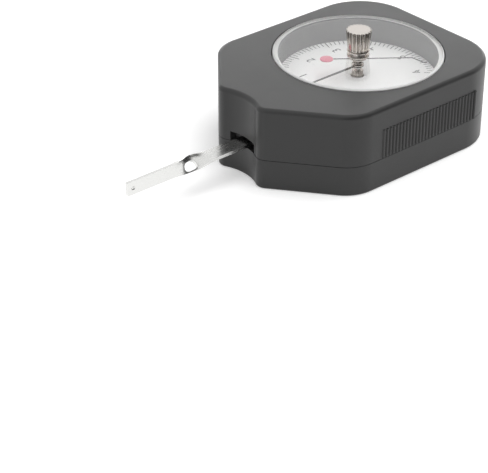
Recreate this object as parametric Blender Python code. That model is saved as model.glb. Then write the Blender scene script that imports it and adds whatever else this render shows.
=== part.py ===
# Dial tension gauge, at real size, in metres.
# The origin is on the dial's axis in the plane of the back. +Z comes out of the dial, and +Y runs to the
# nose, where the lever leaves the case. The lever turns about lever_pivot, the live pointer about
# pointer_axis and the peak pointer with its knob about peak_axis.

import math

import bmesh
import bpy
from mathutils import Matrix, Vector

MM = 0.001
FULL_TURN = 2 * math.pi
QUARTER_TURN = math.pi / 2
HALF_TURN = math.pi

# Gaps
SEAT_GAP = 0.05 * MM
RUN_GAP = 0.05 * MM
PRESS_GAP = 0.05 * MM
OVERRUN = 1.0 * MM
MERGE = 0.0005 * MM

# Facets of round pieces
SIDES_TINY = 10
SIDES_SMALL = 14
SIDES_MEDIUM = 20
SIDES_LARGE = 48
SMOOTH_ANGLE = math.radians(35)

# Window and its well, which the case is drawn round
WINDOW_RADIUS = 24.93 * MM
WELL_WALL = 1.47 * MM
WELL_RADIUS = WINDOW_RADIUS + WELL_WALL

# Case outline, seen from the front, which reaches past the lever's pivot at the nose
SIDE_MARGIN = 3.6 * MM
TAIL_MARGIN = 4.6 * MM
CASE_WIDTH = 2 * (WELL_RADIUS + SIDE_MARGIN)
TAIL_REACH = WELL_RADIUS + TAIL_MARGIN
PIVOT_REACH = 30.0 * MM
NOSE_MARGIN = 14.5 * MM
SHOULDER_DROP = 16.9 * MM
NOSE_REACH = PIVOT_REACH + NOSE_MARGIN
SHOULDER_REACH = NOSE_REACH - SHOULDER_DROP
NOSE_WIDTH = 18.2 * MM
TAIL_CORNER_RADIUS = 15.8 * MM
SHOULDER_RADIUS = 11.0 * MM
HORN_RADIUS = 3.2 * MM
SCOOP_DEPTH = 1.8 * MM
TAIL_CORNER_STEPS = 8
SHOULDER_STEPS = 4
HORN_STEPS = 5
SCOOP_STEPS = 6

# Case depth and walls
SIDE_WALL = 2.0 * MM
FRONT_WALL = 2.4 * MM
REAR_WALL = 2.0 * MM
FRONT_EDGE_RADIUS = 1.0 * MM
REAR_EDGE_RADIUS = 0.6 * MM
EDGE_STEPS = 2
SEAM_GAP = 0.15 * MM
TONGUE_INSET = 1.0 * MM
TONGUE_HEIGHT = 1.3 * MM

# Grip ribs along both long sides of the front half
RIB_COUNT = 29
RIB_TAIL_OVERLAP = 2.47 * MM
RIB_SHOULDER_MARGIN = 4.18 * MM
RIB_FACE_MARGIN = 6.75 * MM
RIB_START = 0.15 * MM
RIB_BASE_WIDTH = 0.78 * MM
RIB_CREST_WIDTH = 0.34 * MM
RIB_HEIGHT = 0.35 * MM
RIB_ROOT = 0.3 * MM

# Nose notch for the lever
NOTCH_WIDTH = 10.2 * MM
NOTCH_HEIGHT = 2.8 * MM

# Dial and lens
LEDGE_WIDTH = 3.93 * MM
LEDGE_THICKNESS = 1.0 * MM
WINDOW_DEPTH = 8.6 * MM
DIAL_THICKNESS = 0.5 * MM
DIAL_RIM_GAP = 0.33 * MM
DIAL_HOLE_RADIUS = 2.0 * MM
LENS_RIM_GAP = 0.3 * MM
LENS_THICKNESS = 2.0 * MM
LENS_STAND = 0.4 * MM
LENS_BEVEL_WIDTH = 0.35 * MM
LENS_BEVEL_DROP = 0.4 * MM
RING_TOP_THICKNESS = 1.68 * MM
RING_FOOT_THICKNESS = 1.85 * MM

# Case screws, through the back into the front half
NOSE_SCREW_X = 7.6 * MM
NOSE_SCREW_INSET = 7.85 * MM
TAIL_SCREW_SIDE_INSET = 10.7 * MM
TAIL_SCREW_END_INSET = 10.1 * MM
SCREW_HEAD_RADIUS = 1.78 * MM
SCREW_HEAD_HEIGHT = 1.35 * MM
SCREW_SHANK_RADIUS = 1.0 * MM
SCREW_LENGTH = 15.0 * MM
COUNTERBORE_RADIUS = 2.25 * MM
COUNTERBORE_DEPTH = 1.95 * MM
SCREW_HOLE_RADIUS = 1.3 * MM
REAR_BOSS_RADIUS = 3.3 * MM
FRONT_BOSS_RADIUS = 2.5 * MM
PILOT_GAP = 0.06 * MM
PILOT_SPARE = 1.5 * MM
BOSS_GAP = 0.2 * MM
RECESS_WIDTH = 0.55 * MM
RECESS_DEPTH = 0.7 * MM
SLOT_WIDTH = 0.6 * MM
RECESS_SPAN_SHARE = 0.62

# Movement plates
MAIN_PLATE_THICKNESS = 1.4 * MM
BRIDGE_FLOOR_GAP = 1.5 * MM
BRIDGE_THICKNESS = 1.2 * MM
PLATE_EAR_RADIUS = 2.8 * MM
BRIDGE_EAR_RADIUS = 3.0 * MM
EAR_STEPS = 6
MOVEMENT_SCREW_OFFSET = 1.8 * MM
MOVEMENT_SCREW_UPPER_ANGLE = math.radians(41.5)
MOVEMENT_SCREW_LOWER_ANGLE = math.radians(-64.5)
MOVEMENT_BOSS_RADIUS = 2.6 * MM
MOVEMENT_HEAD_RADIUS = 1.9 * MM
MOVEMENT_HEAD_HEIGHT = 1.4 * MM
MOVEMENT_SHANK_RADIUS = 0.95 * MM
MOVEMENT_SCREW_BITE = 4.4 * MM
PILLAR_SIDE_X = 15.5 * MM
PILLAR_STOP_SPACING = 9.5 * MM
PILLAR_TAIL_REACH = 11.0 * MM
PILLAR_RADIUS = 1.8 * MM
PILLAR_SPIGOT_RADIUS = 0.9 * MM
BRIDGE_HEAD_RADIUS = 1.6 * MM
BRIDGE_HEAD_HEIGHT = 1.1 * MM
BRIDGE_SHANK_RADIUS = 0.85 * MM
BRIDGE_SCREW_BITE = 3.8 * MM

# Gear train: a toothed sector on the lever's arbor drives a pinion on the dial's axis
PINION_TEETH = 10
SECTOR_TEETH = 175
SECTOR_TEETH_CUT = 14
PRESSURE_ANGLE = math.radians(20)
BACKLASH = 0.06 * MM
PINION_ADDENDUM_SHARE = 1.0
PINION_DEDENDUM_SHARE = 0.85
SECTOR_ADDENDUM_SHARE = 0.55
SECTOR_DEDENDUM_SHARE = 1.25
FLANK_STEPS = 2
POINTER_SWEEP = math.radians(180)

# Gear sector
SECTOR_STAND = 2.6 * MM
SECTOR_THICKNESS = 1.0 * MM
SECTOR_END_MARGIN = math.radians(1.0)
SECTOR_HUB_RADIUS = 4.2 * MM
SECTOR_HUB_STEPS = 10
SECTOR_SIDE_ANGLE = math.radians(78)
SECTOR_RIM_WIDTH = 3.6 * MM
SECTOR_WINDOW_INNER = 15.5 * MM
SECTOR_WINDOW_HALF_ANGLE = math.radians(9)
SECTOR_WINDOW_STEPS = 4
SECTOR_PIN_REACH = 12.0 * MM

# Pinion arbor
PINION_OVERHANG = 0.5 * MM
PINION_LENGTH = 2.0 * MM
ARBOR_RADIUS = 1.0 * MM
ARBOR_PIVOT_RADIUS = 0.5 * MM
ARBOR_SHAFT_RADIUS = 0.8 * MM
ARBOR_STUB = 0.3 * MM

# Bushes
BUSH_FLANGE_THICKNESS = 0.3 * MM
BUSH_FLANGE_LIP = 0.6 * MM
LEVER_BUSH_RADIUS = 2.0 * MM
PINION_LOWER_BUSH_RADIUS = 1.5 * MM
PINION_UPPER_BUSH_RADIUS = 2.2 * MM
PINION_SLEEVE_RADIUS = 1.65 * MM
PINION_SLEEVE_STAND = 1.8 * MM
PINION_UPPER_FLANGE_THICKNESS = 0.5 * MM

# Lever, its hub and arbor
LEVER_STAND = 1.55 * MM
LEVER_SEAM_RISE = 0.75 * MM
LEVER_PLATE_GAP = 2.3 * MM
LEVER_THICKNESS = 0.95 * MM
LEVER_WIDTH = 5.0 * MM
LEVER_TIP_REACH = 83.6 * MM
LEVER_HEAD_RADIUS = 4.2 * MM
LEVER_HEAD_END_SHARE = 0.35
LEVER_HEAD_STEPS = 7
TWIST_START = 53.0 * MM
TWIST_END = 68.5 * MM
TWIST_STEPS = 14
TWIST_WINDOW_START = 59.5 * MM
TWIST_WINDOW_END = 64.4 * MM
TWIST_WINDOW_WIDTH = 3.0 * MM
BLADE_WIDTH = 4.0 * MM
BLADE_TIP_CHAMFER = 0.35 * MM
TIP_HOLE_RADIUS = 0.5 * MM
TIP_HOLE_INSET = 1.9 * MM
HUB_RADIUS = 1.9 * MM
HUB_FLANGE_THICKNESS = 1.45 * MM
LEVER_ARBOR_RADIUS = 1.2 * MM
ARBOR_END_INSET = 0.15 * MM
RIVET_OFFSET = 3.1 * MM
RIVET_RADIUS = 0.6 * MM
RIVET_HEAD_RADIUS = 1.05 * MM
RIVET_HEAD_HEIGHT = 0.45 * MM

# Centring spring, its post and pin, and the sector's stops
SPRING_WIRE_RADIUS = 0.25 * MM
SPRING_COIL_RADIUS = 2.85 * MM
SPRING_TURNS = 2.5
SPRING_PITCH = 0.6 * MM
SPRING_FLOOR_GAP = 0.1 * MM
SPRING_POINTS_PER_TURN = 12
SPRING_LEG_POINTS = 4
SPRING_LEG_STRAIGHT = 7.5 * MM
SPRING_SIDE_RESOLUTION = 1
POST_RADIUS = 0.7 * MM
POST_SPACING = 4.0 * MM
PIN_DROP = 2.2 * MM
STOP_RADIUS = 0.8 * MM
STOP_INSET = 2.5 * MM
STOP_GAP = 0.1 * MM
STOP_HEAD = 0.3 * MM

# Hairspring, which takes up the play of the teeth
COLLET_GAP = 1.1 * MM
COLLET_HEIGHT = 1.0 * MM
COLLET_RADIUS = 1.7 * MM
HAIRSPRING_STRIP = 0.12 * MM
HAIRSPRING_HEIGHT = 0.4 * MM
HAIRSPRING_OUTER_RADIUS = 6.6 * MM
HAIRSPRING_TURNS = 3
HAIRSPRING_POINTS_PER_TURN = 16
HAIRSPRING_END_ANGLE = math.radians(-30)
STUD_RADIUS = 0.6 * MM

# Live pointer
NEEDLE_STAND = 3.05 * MM
NEEDLE_THICKNESS = 0.25 * MM
NEEDLE_REACH = 21.0 * MM
NEEDLE_ROOT_WIDTH = 0.75 * MM
NEEDLE_TIP_WIDTH = 0.35 * MM
NEEDLE_EYE_RADIUS = 1.8 * MM
NEEDLE_HUB_HEIGHT = 1.15 * MM
NEEDLE_SPIGOT_RADIUS = 1.25 * MM
NEEDLE_SPIGOT_LENGTH = 0.45 * MM

# Peak pointer, its spindle and knob
PEAK_ANGLE = math.radians(-142)
PEAK_WIRE_RADIUS = 0.15 * MM
PEAK_WIRE_RESOLUTION = 1
PEAK_EYE_RADIUS = 1.9 * MM
PEAK_HUB_GAP = 0.3 * MM
PEAK_EYE_THICKNESS = 0.3 * MM
PEAK_BEND_REACH = 16.6 * MM
PEAK_FOOT_REACH = 19.2 * MM
PEAK_TIP_REACH = 20.0 * MM
PEAK_TAIL_REACH = 9.05 * MM
PEAK_TAIL_RADIUS = 1.9 * MM
PEAK_HUB_RADIUS = 2.6 * MM
PEAK_HUB_THICKNESS = 0.55 * MM
DRAG_GAP = 0.1 * MM
SPINDLE_RADIUS = 1.0 * MM
LENS_BUSH_RADIUS = 2.0 * MM
LENS_BUSH_FLANGE_RADIUS = 3.0 * MM
LENS_BUSH_FLANGE_THICKNESS = 0.35 * MM
LENS_NUT_THICKNESS = 0.7 * MM
WASHER_THICKNESS = 0.2 * MM
WASHER_RADIUS = 2.7 * MM
WASHER_HOLE_RADIUS = 1.3 * MM
KNOB_HEIGHT = 5.95 * MM
KNOB_RADIUS = 3.75 * MM
KNOB_FOOT_RADIUS = 3.15 * MM
KNOB_CHAMFER = 0.2 * MM
KNOB_SOCKET_SPARE = 1.0 * MM
FLUTE_COUNT = 20
FLUTE_DEPTH = 0.32 * MM
FLUTE_ANGLE_SHARES = (0.0, 0.4, 0.55, 0.85)
FLUTE_DEPTH_SHARES = (0.0, 0.0, 1.0, 1.0)

# Heights, stacked up from the floor of the back
BRIDGE_LOW = REAR_WALL + BRIDGE_FLOOR_GAP
BRIDGE_TOP = BRIDGE_LOW + BRIDGE_THICKNESS
SECTOR_LOW = BRIDGE_TOP + SECTOR_STAND
SECTOR_TOP = SECTOR_LOW + SECTOR_THICKNESS
PINION_LOW = SECTOR_LOW - PINION_OVERHANG
COLLET_LOW = PINION_LOW + PINION_LENGTH + COLLET_GAP
LEVER_LOW = SECTOR_TOP + LEVER_STAND
LEVER_TOP = LEVER_LOW + LEVER_THICKNESS
PARTING_HEIGHT = LEVER_LOW - LEVER_SEAM_RISE
HUB_FLANGE_TOP = LEVER_LOW - SEAT_GAP
HUB_FLANGE_LOW = HUB_FLANGE_TOP - HUB_FLANGE_THICKNESS
MAIN_PLATE_LOW = LEVER_TOP + LEVER_PLATE_GAP
MAIN_PLATE_TOP = MAIN_PLATE_LOW + MAIN_PLATE_THICKNESS
LOWER_BUSH_TOP = BRIDGE_TOP + SEAT_GAP + BUSH_FLANGE_THICKNESS
UPPER_BUSH_LOW = MAIN_PLATE_LOW - SEAT_GAP - BUSH_FLANGE_THICKNESS
HUB_LOW = LOWER_BUSH_TOP + RUN_GAP
HUB_TOP = UPPER_BUSH_LOW - RUN_GAP
LEDGE_LOW = MAIN_PLATE_TOP + SEAT_GAP
LEDGE_TOP = LEDGE_LOW + LEDGE_THICKNESS
DIAL_LOW = LEDGE_TOP + SEAT_GAP
DIAL_TOP = DIAL_LOW + DIAL_THICKNESS
PINION_SLEEVE_TOP = DIAL_TOP + PINION_SLEEVE_STAND
NEEDLE_LOW = DIAL_TOP + NEEDLE_STAND
NEEDLE_TOP = NEEDLE_LOW + NEEDLE_THICKNESS
NEEDLE_HUB_TOP = NEEDLE_LOW + NEEDLE_HUB_HEIGHT
NEEDLE_SPIGOT_LOW = NEEDLE_LOW - NEEDLE_SPIGOT_LENGTH
ARBOR_TOP = NEEDLE_HUB_TOP + ARBOR_STUB
CASE_DEPTH = DIAL_TOP + WINDOW_DEPTH
RIB_TOP = CASE_DEPTH - RIB_FACE_MARGIN
LENS_TOP = CASE_DEPTH + LENS_STAND
LENS_LOW = LENS_TOP - LENS_THICKNESS
LENS_NUT_LOW = LENS_LOW - SEAT_GAP - LENS_NUT_THICKNESS
PEAK_HUB_LOW = LENS_NUT_LOW - PEAK_HUB_GAP - PEAK_HUB_THICKNESS
PEAK_EYE_LOW = PEAK_HUB_LOW - SEAT_GAP - PEAK_EYE_THICKNESS
PEAK_WIRE_HEIGHT = PEAK_EYE_LOW + PEAK_EYE_THICKNESS / 2
PEAK_FOOT_HEIGHT = NEEDLE_TOP + DRAG_GAP + PEAK_WIRE_RADIUS
BUSH_FLANGE_TOP = LENS_TOP + SEAT_GAP + LENS_BUSH_FLANGE_THICKNESS
WASHER_LOW = BUSH_FLANGE_TOP + RUN_GAP
KNOB_LOW = WASHER_LOW + WASHER_THICKNESS + SEAT_GAP
KNOB_TOP = KNOB_LOW + KNOB_HEIGHT

# Radii that follow from the window
LEDGE_BORE = WINDOW_RADIUS - LEDGE_WIDTH
DIAL_RADIUS = WINDOW_RADIUS - DIAL_RIM_GAP
LENS_RADIUS = WINDOW_RADIUS - LENS_RIM_GAP

# Case corners that follow from the outline
NOSE_SLOPE = math.atan2(SHOULDER_DROP, (CASE_WIDTH - NOSE_WIDTH) / 2)
SHOULDER_TURN = QUARTER_TURN - NOSE_SLOPE
SHOULDER_START = SHOULDER_REACH - SHOULDER_RADIUS * math.tan(SHOULDER_TURN / 2)
TAIL_CORNER_START = TAIL_CORNER_RADIUS - TAIL_REACH

# Gear sizes that follow from the centre distance and the teeth
MODULE = 2 * PIVOT_REACH / (PINION_TEETH + SECTOR_TEETH)
PINION_PITCH_RADIUS = MODULE * PINION_TEETH / 2
SECTOR_PITCH_RADIUS = MODULE * SECTOR_TEETH / 2
SECTOR_ROOT_RADIUS = SECTOR_PITCH_RADIUS - MODULE * SECTOR_DEDENDUM_SHARE
SECTOR_HALF_ANGLE = SECTOR_TEETH_CUT * HALF_TURN / SECTOR_TEETH + SECTOR_END_MARGIN
LEVER_SWING = POINTER_SWEEP * PINION_TEETH / SECTOR_TEETH
POST_REACH = SECTOR_PIN_REACH + POST_SPACING


# Plain geometry

def mirrored(place):
    """The place and its twin on the other side of the long axis, right one first."""
    x, y = place
    return [(x, y), (-x, y)]


def polar(centre, radius, angle):
    return (centre[0] + radius * math.cos(angle), centre[1] + radius * math.sin(angle))


def arc(centre, radius, start, end, steps):
    """Points along an arc, both ends included."""
    return [polar(centre, radius, start + (end - start) * k / steps) for k in range(steps + 1)]


def circle(centre, radius, sides):
    return arc(centre, radius, 0, FULL_TURN, sides)[:-1]


def rectangle(half_width, low, high):
    return [(-half_width, low), (half_width, low), (half_width, high), (-half_width, high)]


def eared(centres, radius):
    """Outline of a convex plate with round ears about the given centres, listed counter-clockwise."""
    points = []
    count = len(centres)
    for k, centre in enumerate(centres):
        before = centres[k - 1]
        after = centres[(k + 1) % count]
        start = math.atan2(centre[1] - before[1], centre[0] - before[0]) - QUARTER_TURN
        end = math.atan2(after[1] - centre[1], after[0] - centre[0]) - QUARTER_TURN
        turn = (end - start) % FULL_TURN
        points += arc(centre, radius, start, start + turn, EAR_STEPS)
    return points


def case_outline(inset):
    """Outline of the case, drawn in from its outer face by inset."""
    half_width = CASE_WIDTH / 2
    nose_half = NOSE_WIDTH / 2
    tail = (half_width - TAIL_CORNER_RADIUS, TAIL_CORNER_START)
    shoulder = (half_width - SHOULDER_RADIUS, SHOULDER_START)
    horn_tangent = HORN_RADIUS * math.tan(NOSE_SLOPE / 2)
    horn = (nose_half - horn_tangent, NOSE_REACH - HORN_RADIUS)
    rise = HORN_RADIUS - SCOOP_DEPTH
    scoop_radius = (horn[0] ** 2 + rise ** 2 - HORN_RADIUS ** 2) / (2 * SCOOP_DEPTH)
    scoop = (0.0, NOSE_REACH - SCOOP_DEPTH + scoop_radius)
    meet = math.atan2(scoop[1] - horn[1], -horn[0])
    right = arc(tail, TAIL_CORNER_RADIUS - inset, -QUARTER_TURN, 0, TAIL_CORNER_STEPS)
    right += arc(shoulder, SHOULDER_RADIUS - inset, 0, SHOULDER_TURN, SHOULDER_STEPS)
    right += arc(horn, HORN_RADIUS - inset, SHOULDER_TURN, meet, HORN_STEPS)
    dip = arc(scoop, scoop_radius + inset, meet - HALF_TURN, -meet, SCOOP_STEPS)[1:-1]
    left = [(-x, y) for x, y in reversed(right)]
    return right + dip + left


def sector_point(radius, angle):
    """A point about the lever's pivot, its angle measured from the line to the dial's axis."""
    return (radius * math.sin(angle), PIVOT_REACH - radius * math.cos(angle))


def involute(angle):
    return math.tan(angle) - angle


def tooth_half_angle(radius, pitch_radius, teeth):
    """Half of the angle that a tooth spans at the given radius."""
    base_radius = pitch_radius * math.cos(PRESSURE_ANGLE)
    at_pitch = (HALF_TURN * pitch_radius / teeth - BACKLASH / 2) / (2 * pitch_radius)
    reach = math.acos(min(1.0, base_radius / radius))
    return at_pitch + involute(PRESSURE_ANGLE) - involute(reach)


def tooth_flank(pitch_radius, teeth, addendum, dedendum):
    """The (radius, half angle) pairs of one flank, from the root to the tip."""
    base_radius = pitch_radius * math.cos(PRESSURE_ANGLE)
    root = pitch_radius - dedendum
    start = max(root, base_radius)
    tip = pitch_radius + addendum
    radii = [start + (tip - start) * k / FLANK_STEPS for k in range(FLANK_STEPS + 1)]
    pairs = [(radius, tooth_half_angle(radius, pitch_radius, teeth)) for radius in radii]
    if root < start:
        pairs.insert(0, (root, pairs[0][1]))
    return pairs


def pinion_outline():
    flank = tooth_flank(PINION_PITCH_RADIUS, PINION_TEETH, MODULE * PINION_ADDENDUM_SHARE,
                        MODULE * PINION_DEDENDUM_SHARE)
    points = []
    for tooth in range(PINION_TEETH):
        middle = QUARTER_TURN + FULL_TURN * tooth / PINION_TEETH
        points += [polar((0, 0), radius, middle - half) for radius, half in flank]
        points += [polar((0, 0), radius, middle + half) for radius, half in reversed(flank)]
    return points


def sector_outline():
    flank = tooth_flank(SECTOR_PITCH_RADIUS, SECTOR_TEETH, MODULE * SECTOR_ADDENDUM_SHARE,
                        MODULE * SECTOR_DEDENDUM_SHARE)
    points = [sector_point(SECTOR_ROOT_RADIUS, -SECTOR_HALF_ANGLE)]
    for tooth in range(SECTOR_TEETH_CUT):
        middle = FULL_TURN * (tooth + (1 - SECTOR_TEETH_CUT) / 2) / SECTOR_TEETH
        points += [sector_point(radius, middle - half) for radius, half in flank]
        points += [sector_point(radius, middle + half) for radius, half in reversed(flank)]
    points.append(sector_point(SECTOR_ROOT_RADIUS, SECTOR_HALF_ANGLE))
    sweep = FULL_TURN - 2 * SECTOR_SIDE_ANGLE
    for k in range(SECTOR_HUB_STEPS + 1):
        points.append(sector_point(SECTOR_HUB_RADIUS, SECTOR_SIDE_ANGLE + sweep * k / SECTOR_HUB_STEPS))
    return points


def sector_window():
    outer = SECTOR_ROOT_RADIUS - SECTOR_RIM_WIDTH
    half = SECTOR_WINDOW_HALF_ANGLE
    angles = [-half + 2 * half * k / SECTOR_WINDOW_STEPS for k in range(SECTOR_WINDOW_STEPS + 1)]
    near = [sector_point(SECTOR_WINDOW_INNER, angle) for angle in reversed(angles)]
    return [sector_point(outer, angle) for angle in angles] + near


def knob_outline(radius):
    """Fluted outline: each flute is a round-bottomed groove between two flats."""
    points = []
    for flute in range(FLUTE_COUNT):
        for angle_share, depth_share in zip(FLUTE_ANGLE_SHARES, FLUTE_DEPTH_SHARES):
            angle = FULL_TURN * (flute + angle_share) / FLUTE_COUNT
            points.append(polar((0, 0), radius - FLUTE_DEPTH * depth_share, angle))
    return points


def clear_bore(radius, sides):
    """Corner radius of a bore whose flats keep the running gap to a shaft of the given radius."""
    return (radius + RUN_GAP) / math.cos(HALF_TURN / sides)


# Modelling steps

def pull(bm, outline, low, high):
    """Draw an outline at height low and extrude it to height high. Returns the top face."""
    base = bm.faces.new([bm.verts.new((x, y, low)) for x, y in outline])
    grown = bmesh.ops.extrude_face_region(bm, geom=[base])["geom"]
    top = [item for item in grown if isinstance(item, bmesh.types.BMFace)]
    bmesh.ops.translate(bm, verts=top[0].verts, vec=(0, 0, high - low))
    bmesh.ops.recalc_face_normals(bm, faces=bm.faces)
    return top[0]


def pulled(outline, low, high):
    bm = bmesh.new()
    pull(bm, outline, low, high)
    return bm


def round_rim(bm, height, radius):
    """Round the edges that lie at one height."""
    rim = [edge for edge in bm.edges if all(abs(v.co.z - height) < MERGE for v in edge.verts)]
    bmesh.ops.bevel(bm, geom=rim, offset=radius, offset_type="OFFSET", segments=EDGE_STEPS,
                    profile=0.5, affect="EDGES", clamp_overlap=False, material=-1)


def spun(profile, is_ring, sides, centre):
    """Surface of revolution of (radius, height) points, whose profile is closed where it is a ring."""
    bm = bmesh.new()
    verts = [bm.verts.new((radius, 0, height)) for radius, height in profile]
    edges = [bm.edges.new(pair) for pair in zip(verts, verts[1:])]
    if is_ring:
        edges.append(bm.edges.new((verts[-1], verts[0])))
    bmesh.ops.spin(bm, geom=verts + edges, cent=(0, 0, 0), axis=(0, 0, 1), angle=FULL_TURN,
                   steps=sides, use_merge=True, use_duplicate=False)
    bmesh.ops.remove_doubles(bm, verts=bm.verts, dist=MERGE)
    if not is_ring:
        bmesh.ops.holes_fill(bm, edges=bm.edges, sides=0)
    bmesh.ops.recalc_face_normals(bm, faces=bm.faces)
    bmesh.ops.translate(bm, verts=bm.verts, vec=(centre[0], centre[1], 0))
    return bm


def turned(profile, sides, centre=(0.0, 0.0)):
    """Turned solid, flat at the first and last point of its profile."""
    return spun(profile, False, sides, centre)


def bored(profile, sides, centre=(0.0, 0.0)):
    """Turned solid with a bore, whose profile runs all the way round."""
    return spun(profile, True, sides, centre)


def ring(bore, radius, low, high, sides, centre=(0.0, 0.0)):
    return bored([(bore, low), (radius, low), (radius, high), (bore, high)], sides, centre)


def rod(radius, low, high, sides, centre=(0.0, 0.0)):
    return pulled(circle(centre, radius, sides), low, high)


def swept(points, radius, resolution):
    """Round wire along points, with closed ends."""
    curve = bpy.data.curves.new("wire", "CURVE")
    curve.dimensions = "3D"
    curve.bevel_depth = radius
    curve.bevel_resolution = resolution
    curve.use_fill_caps = True
    spline = curve.splines.new("POLY")
    spline.points.add(len(points) - 1)
    for target, point in zip(spline.points, points):
        target.co = (*point, 1)
    holder = bpy.data.objects.new("wire", curve)
    bpy.context.collection.objects.link(holder)
    mesh = bpy.data.meshes.new_from_object(holder.evaluated_get(bpy.context.evaluated_depsgraph_get()))
    bm = bmesh.new()
    bm.from_mesh(mesh)
    bmesh.ops.remove_doubles(bm, verts=bm.verts, dist=MERGE)
    bmesh.ops.recalc_face_normals(bm, faces=bm.faces)
    bpy.data.objects.remove(holder)
    bpy.data.curves.remove(curve)
    bpy.data.meshes.remove(mesh)
    return bm


def made(name, bm, material):
    """Put a finished bmesh into the scene as a named object."""
    mesh = bpy.data.meshes.new(name)
    bm.to_mesh(mesh)
    bm.free()
    piece = bpy.data.objects.new(name, mesh)
    bpy.context.collection.objects.link(piece)
    if material:
        mesh.materials.append(material)
    mesh.shade_smooth()
    mesh.set_sharp_from_angle(angle=SMOOTH_ANGLE)
    return piece


def tool(bm):
    """A cutter or an added body, which combine uses up."""
    piece = made("tool", bm, None)
    piece.hide_render = True
    piece.display_type = "WIRE"
    return piece


def combine(piece, tools, operation):
    """Cut the tools from a piece, or weld them to it, and drop them."""
    for item in tools:
        step = piece.modifiers.new(operation.title(), "BOOLEAN")
        step.operation = operation
        step.solver = "EXACT"
        step.object = item
    depsgraph = bpy.context.evaluated_depsgraph_get()
    mesh = bpy.data.meshes.new_from_object(piece.evaluated_get(depsgraph))
    before = piece.data
    piece.modifiers.clear()
    piece.data = mesh
    bpy.data.meshes.remove(before)
    mesh.name = piece.name
    for item in tools:
        bpy.data.objects.remove(item)
    mesh.shade_smooth()
    mesh.set_sharp_from_angle(angle=SMOOTH_ANGLE)
    return piece


def cut(piece, *shapes):
    return combine(piece, [tool(bm) for bm in shapes], "DIFFERENCE")


def weld(piece, *shapes):
    return combine(piece, [tool(bm) for bm in shapes], "UNION")


# Materials

def surface(name, color, roughness, metallic=0.0):
    material = bpy.data.materials.new(name)
    material.use_nodes = True
    shader = material.node_tree.nodes["Principled BSDF"]
    shader.inputs["Base Color"].default_value = (*color, 1)
    shader.inputs["Roughness"].default_value = roughness
    shader.inputs["Metallic"].default_value = metallic
    material.diffuse_color = (*color, 1)
    return material


def clear_acrylic():
    material = surface("clear_acrylic", (0.95, 0.96, 0.97), 0.03)
    shader = material.node_tree.nodes["Principled BSDF"]
    shader.inputs["Transmission Weight"].default_value = 1.0
    shader.inputs["IOR"].default_value = 1.49
    return material


# Case

def case_screw_places():
    nose = (NOSE_SCREW_X, NOSE_REACH - NOSE_SCREW_INSET)
    tail = (CASE_WIDTH / 2 - TAIL_SCREW_SIDE_INSET, TAIL_SCREW_END_INSET - TAIL_REACH)
    return mirrored(nose) + mirrored(tail)


def movement_screw_places():
    """Beside the well, where the main plate is screwed up against the front case."""
    reach = WELL_RADIUS + MOVEMENT_SCREW_OFFSET
    upper = polar((0, 0), reach, MOVEMENT_SCREW_UPPER_ANGLE)
    lower = polar((0, 0), reach, MOVEMENT_SCREW_LOWER_ANGLE)
    return mirrored(upper) + mirrored(lower)


def front_case(material):
    """Black moulded front half: window well with a ledge, screw bosses, grip ribs and the lever's notch."""
    body = pulled(case_outline(0), PARTING_HEIGHT, CASE_DEPTH)
    round_rim(body, CASE_DEPTH, FRONT_EDGE_RADIUS)
    shell = made("front_case", body, material)
    open_low = PARTING_HEIGHT - OVERRUN
    roof = CASE_DEPTH - FRONT_WALL
    above_roof = roof + OVERRUN
    hollow = tool(pulled(case_outline(SIDE_WALL), open_low, roof))
    rebate_top = PARTING_HEIGHT + TONGUE_HEIGHT + SEAM_GAP
    weld(hollow, pulled(case_outline(TONGUE_INSET), open_low - OVERRUN, rebate_top))
    cores = [rod(WELL_RADIUS, LEDGE_LOW, above_roof, SIDES_LARGE)]
    for place in case_screw_places():
        cores.append(rod(FRONT_BOSS_RADIUS, PARTING_HEIGHT, above_roof, SIDES_SMALL, place))
    for place in movement_screw_places():
        cores.append(rod(MOVEMENT_BOSS_RADIUS, LEDGE_LOW, above_roof, SIDES_SMALL, place))
    cut(hollow, *cores)
    combine(shell, [hollow], "DIFFERENCE")
    holes = [rod(WINDOW_RADIUS, LEDGE_TOP, CASE_DEPTH + OVERRUN, SIDES_LARGE),
             rod(LEDGE_BORE, LEDGE_LOW - OVERRUN, LEDGE_TOP + OVERRUN, SIDES_LARGE)]
    screw_end = COUNTERBORE_DEPTH + SCREW_LENGTH + PILOT_SPARE
    for place in case_screw_places():
        holes.append(rod(SCREW_SHANK_RADIUS + PILOT_GAP, open_low, screw_end, SIDES_TINY, place))
    movement_end = LEDGE_LOW + MOVEMENT_SCREW_BITE + PILOT_SPARE
    for place in movement_screw_places():
        pilot = MOVEMENT_SHANK_RADIUS + PILOT_GAP
        holes.append(rod(pilot, LEDGE_LOW - OVERRUN, movement_end, SIDES_TINY, place))
    notch_low = NOSE_REACH - NOSE_SCREW_INSET + FRONT_BOSS_RADIUS + BOSS_GAP
    notch = rectangle(NOTCH_WIDTH / 2, notch_low, NOSE_REACH + OVERRUN)
    holes.append(pulled(notch, open_low, PARTING_HEIGHT + NOTCH_HEIGHT))
    cut(shell, *holes)
    weld(shell, grip_ribs())
    return shell


def grip_ribs():
    bm = bmesh.new()
    foot = CASE_WIDTH / 2 - RIB_ROOT
    crest = CASE_WIDTH / 2 + RIB_HEIGHT
    foot_half = RIB_BASE_WIDTH / 2
    crest_half = RIB_CREST_WIDTH / 2
    first = TAIL_CORNER_START - RIB_TAIL_OVERLAP
    pitch = (SHOULDER_START - RIB_SHOULDER_MARGIN - first) / (RIB_COUNT - 1)
    for side in (-1, 1):
        for k in range(RIB_COUNT):
            middle = first + pitch * k
            outline = [(side * foot, middle - foot_half), (side * crest, middle - crest_half),
                       (side * crest, middle + crest_half), (side * foot, middle + foot_half)]
            pull(bm, outline, PARTING_HEIGHT + RIB_START, RIB_TOP)
    return bm


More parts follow.
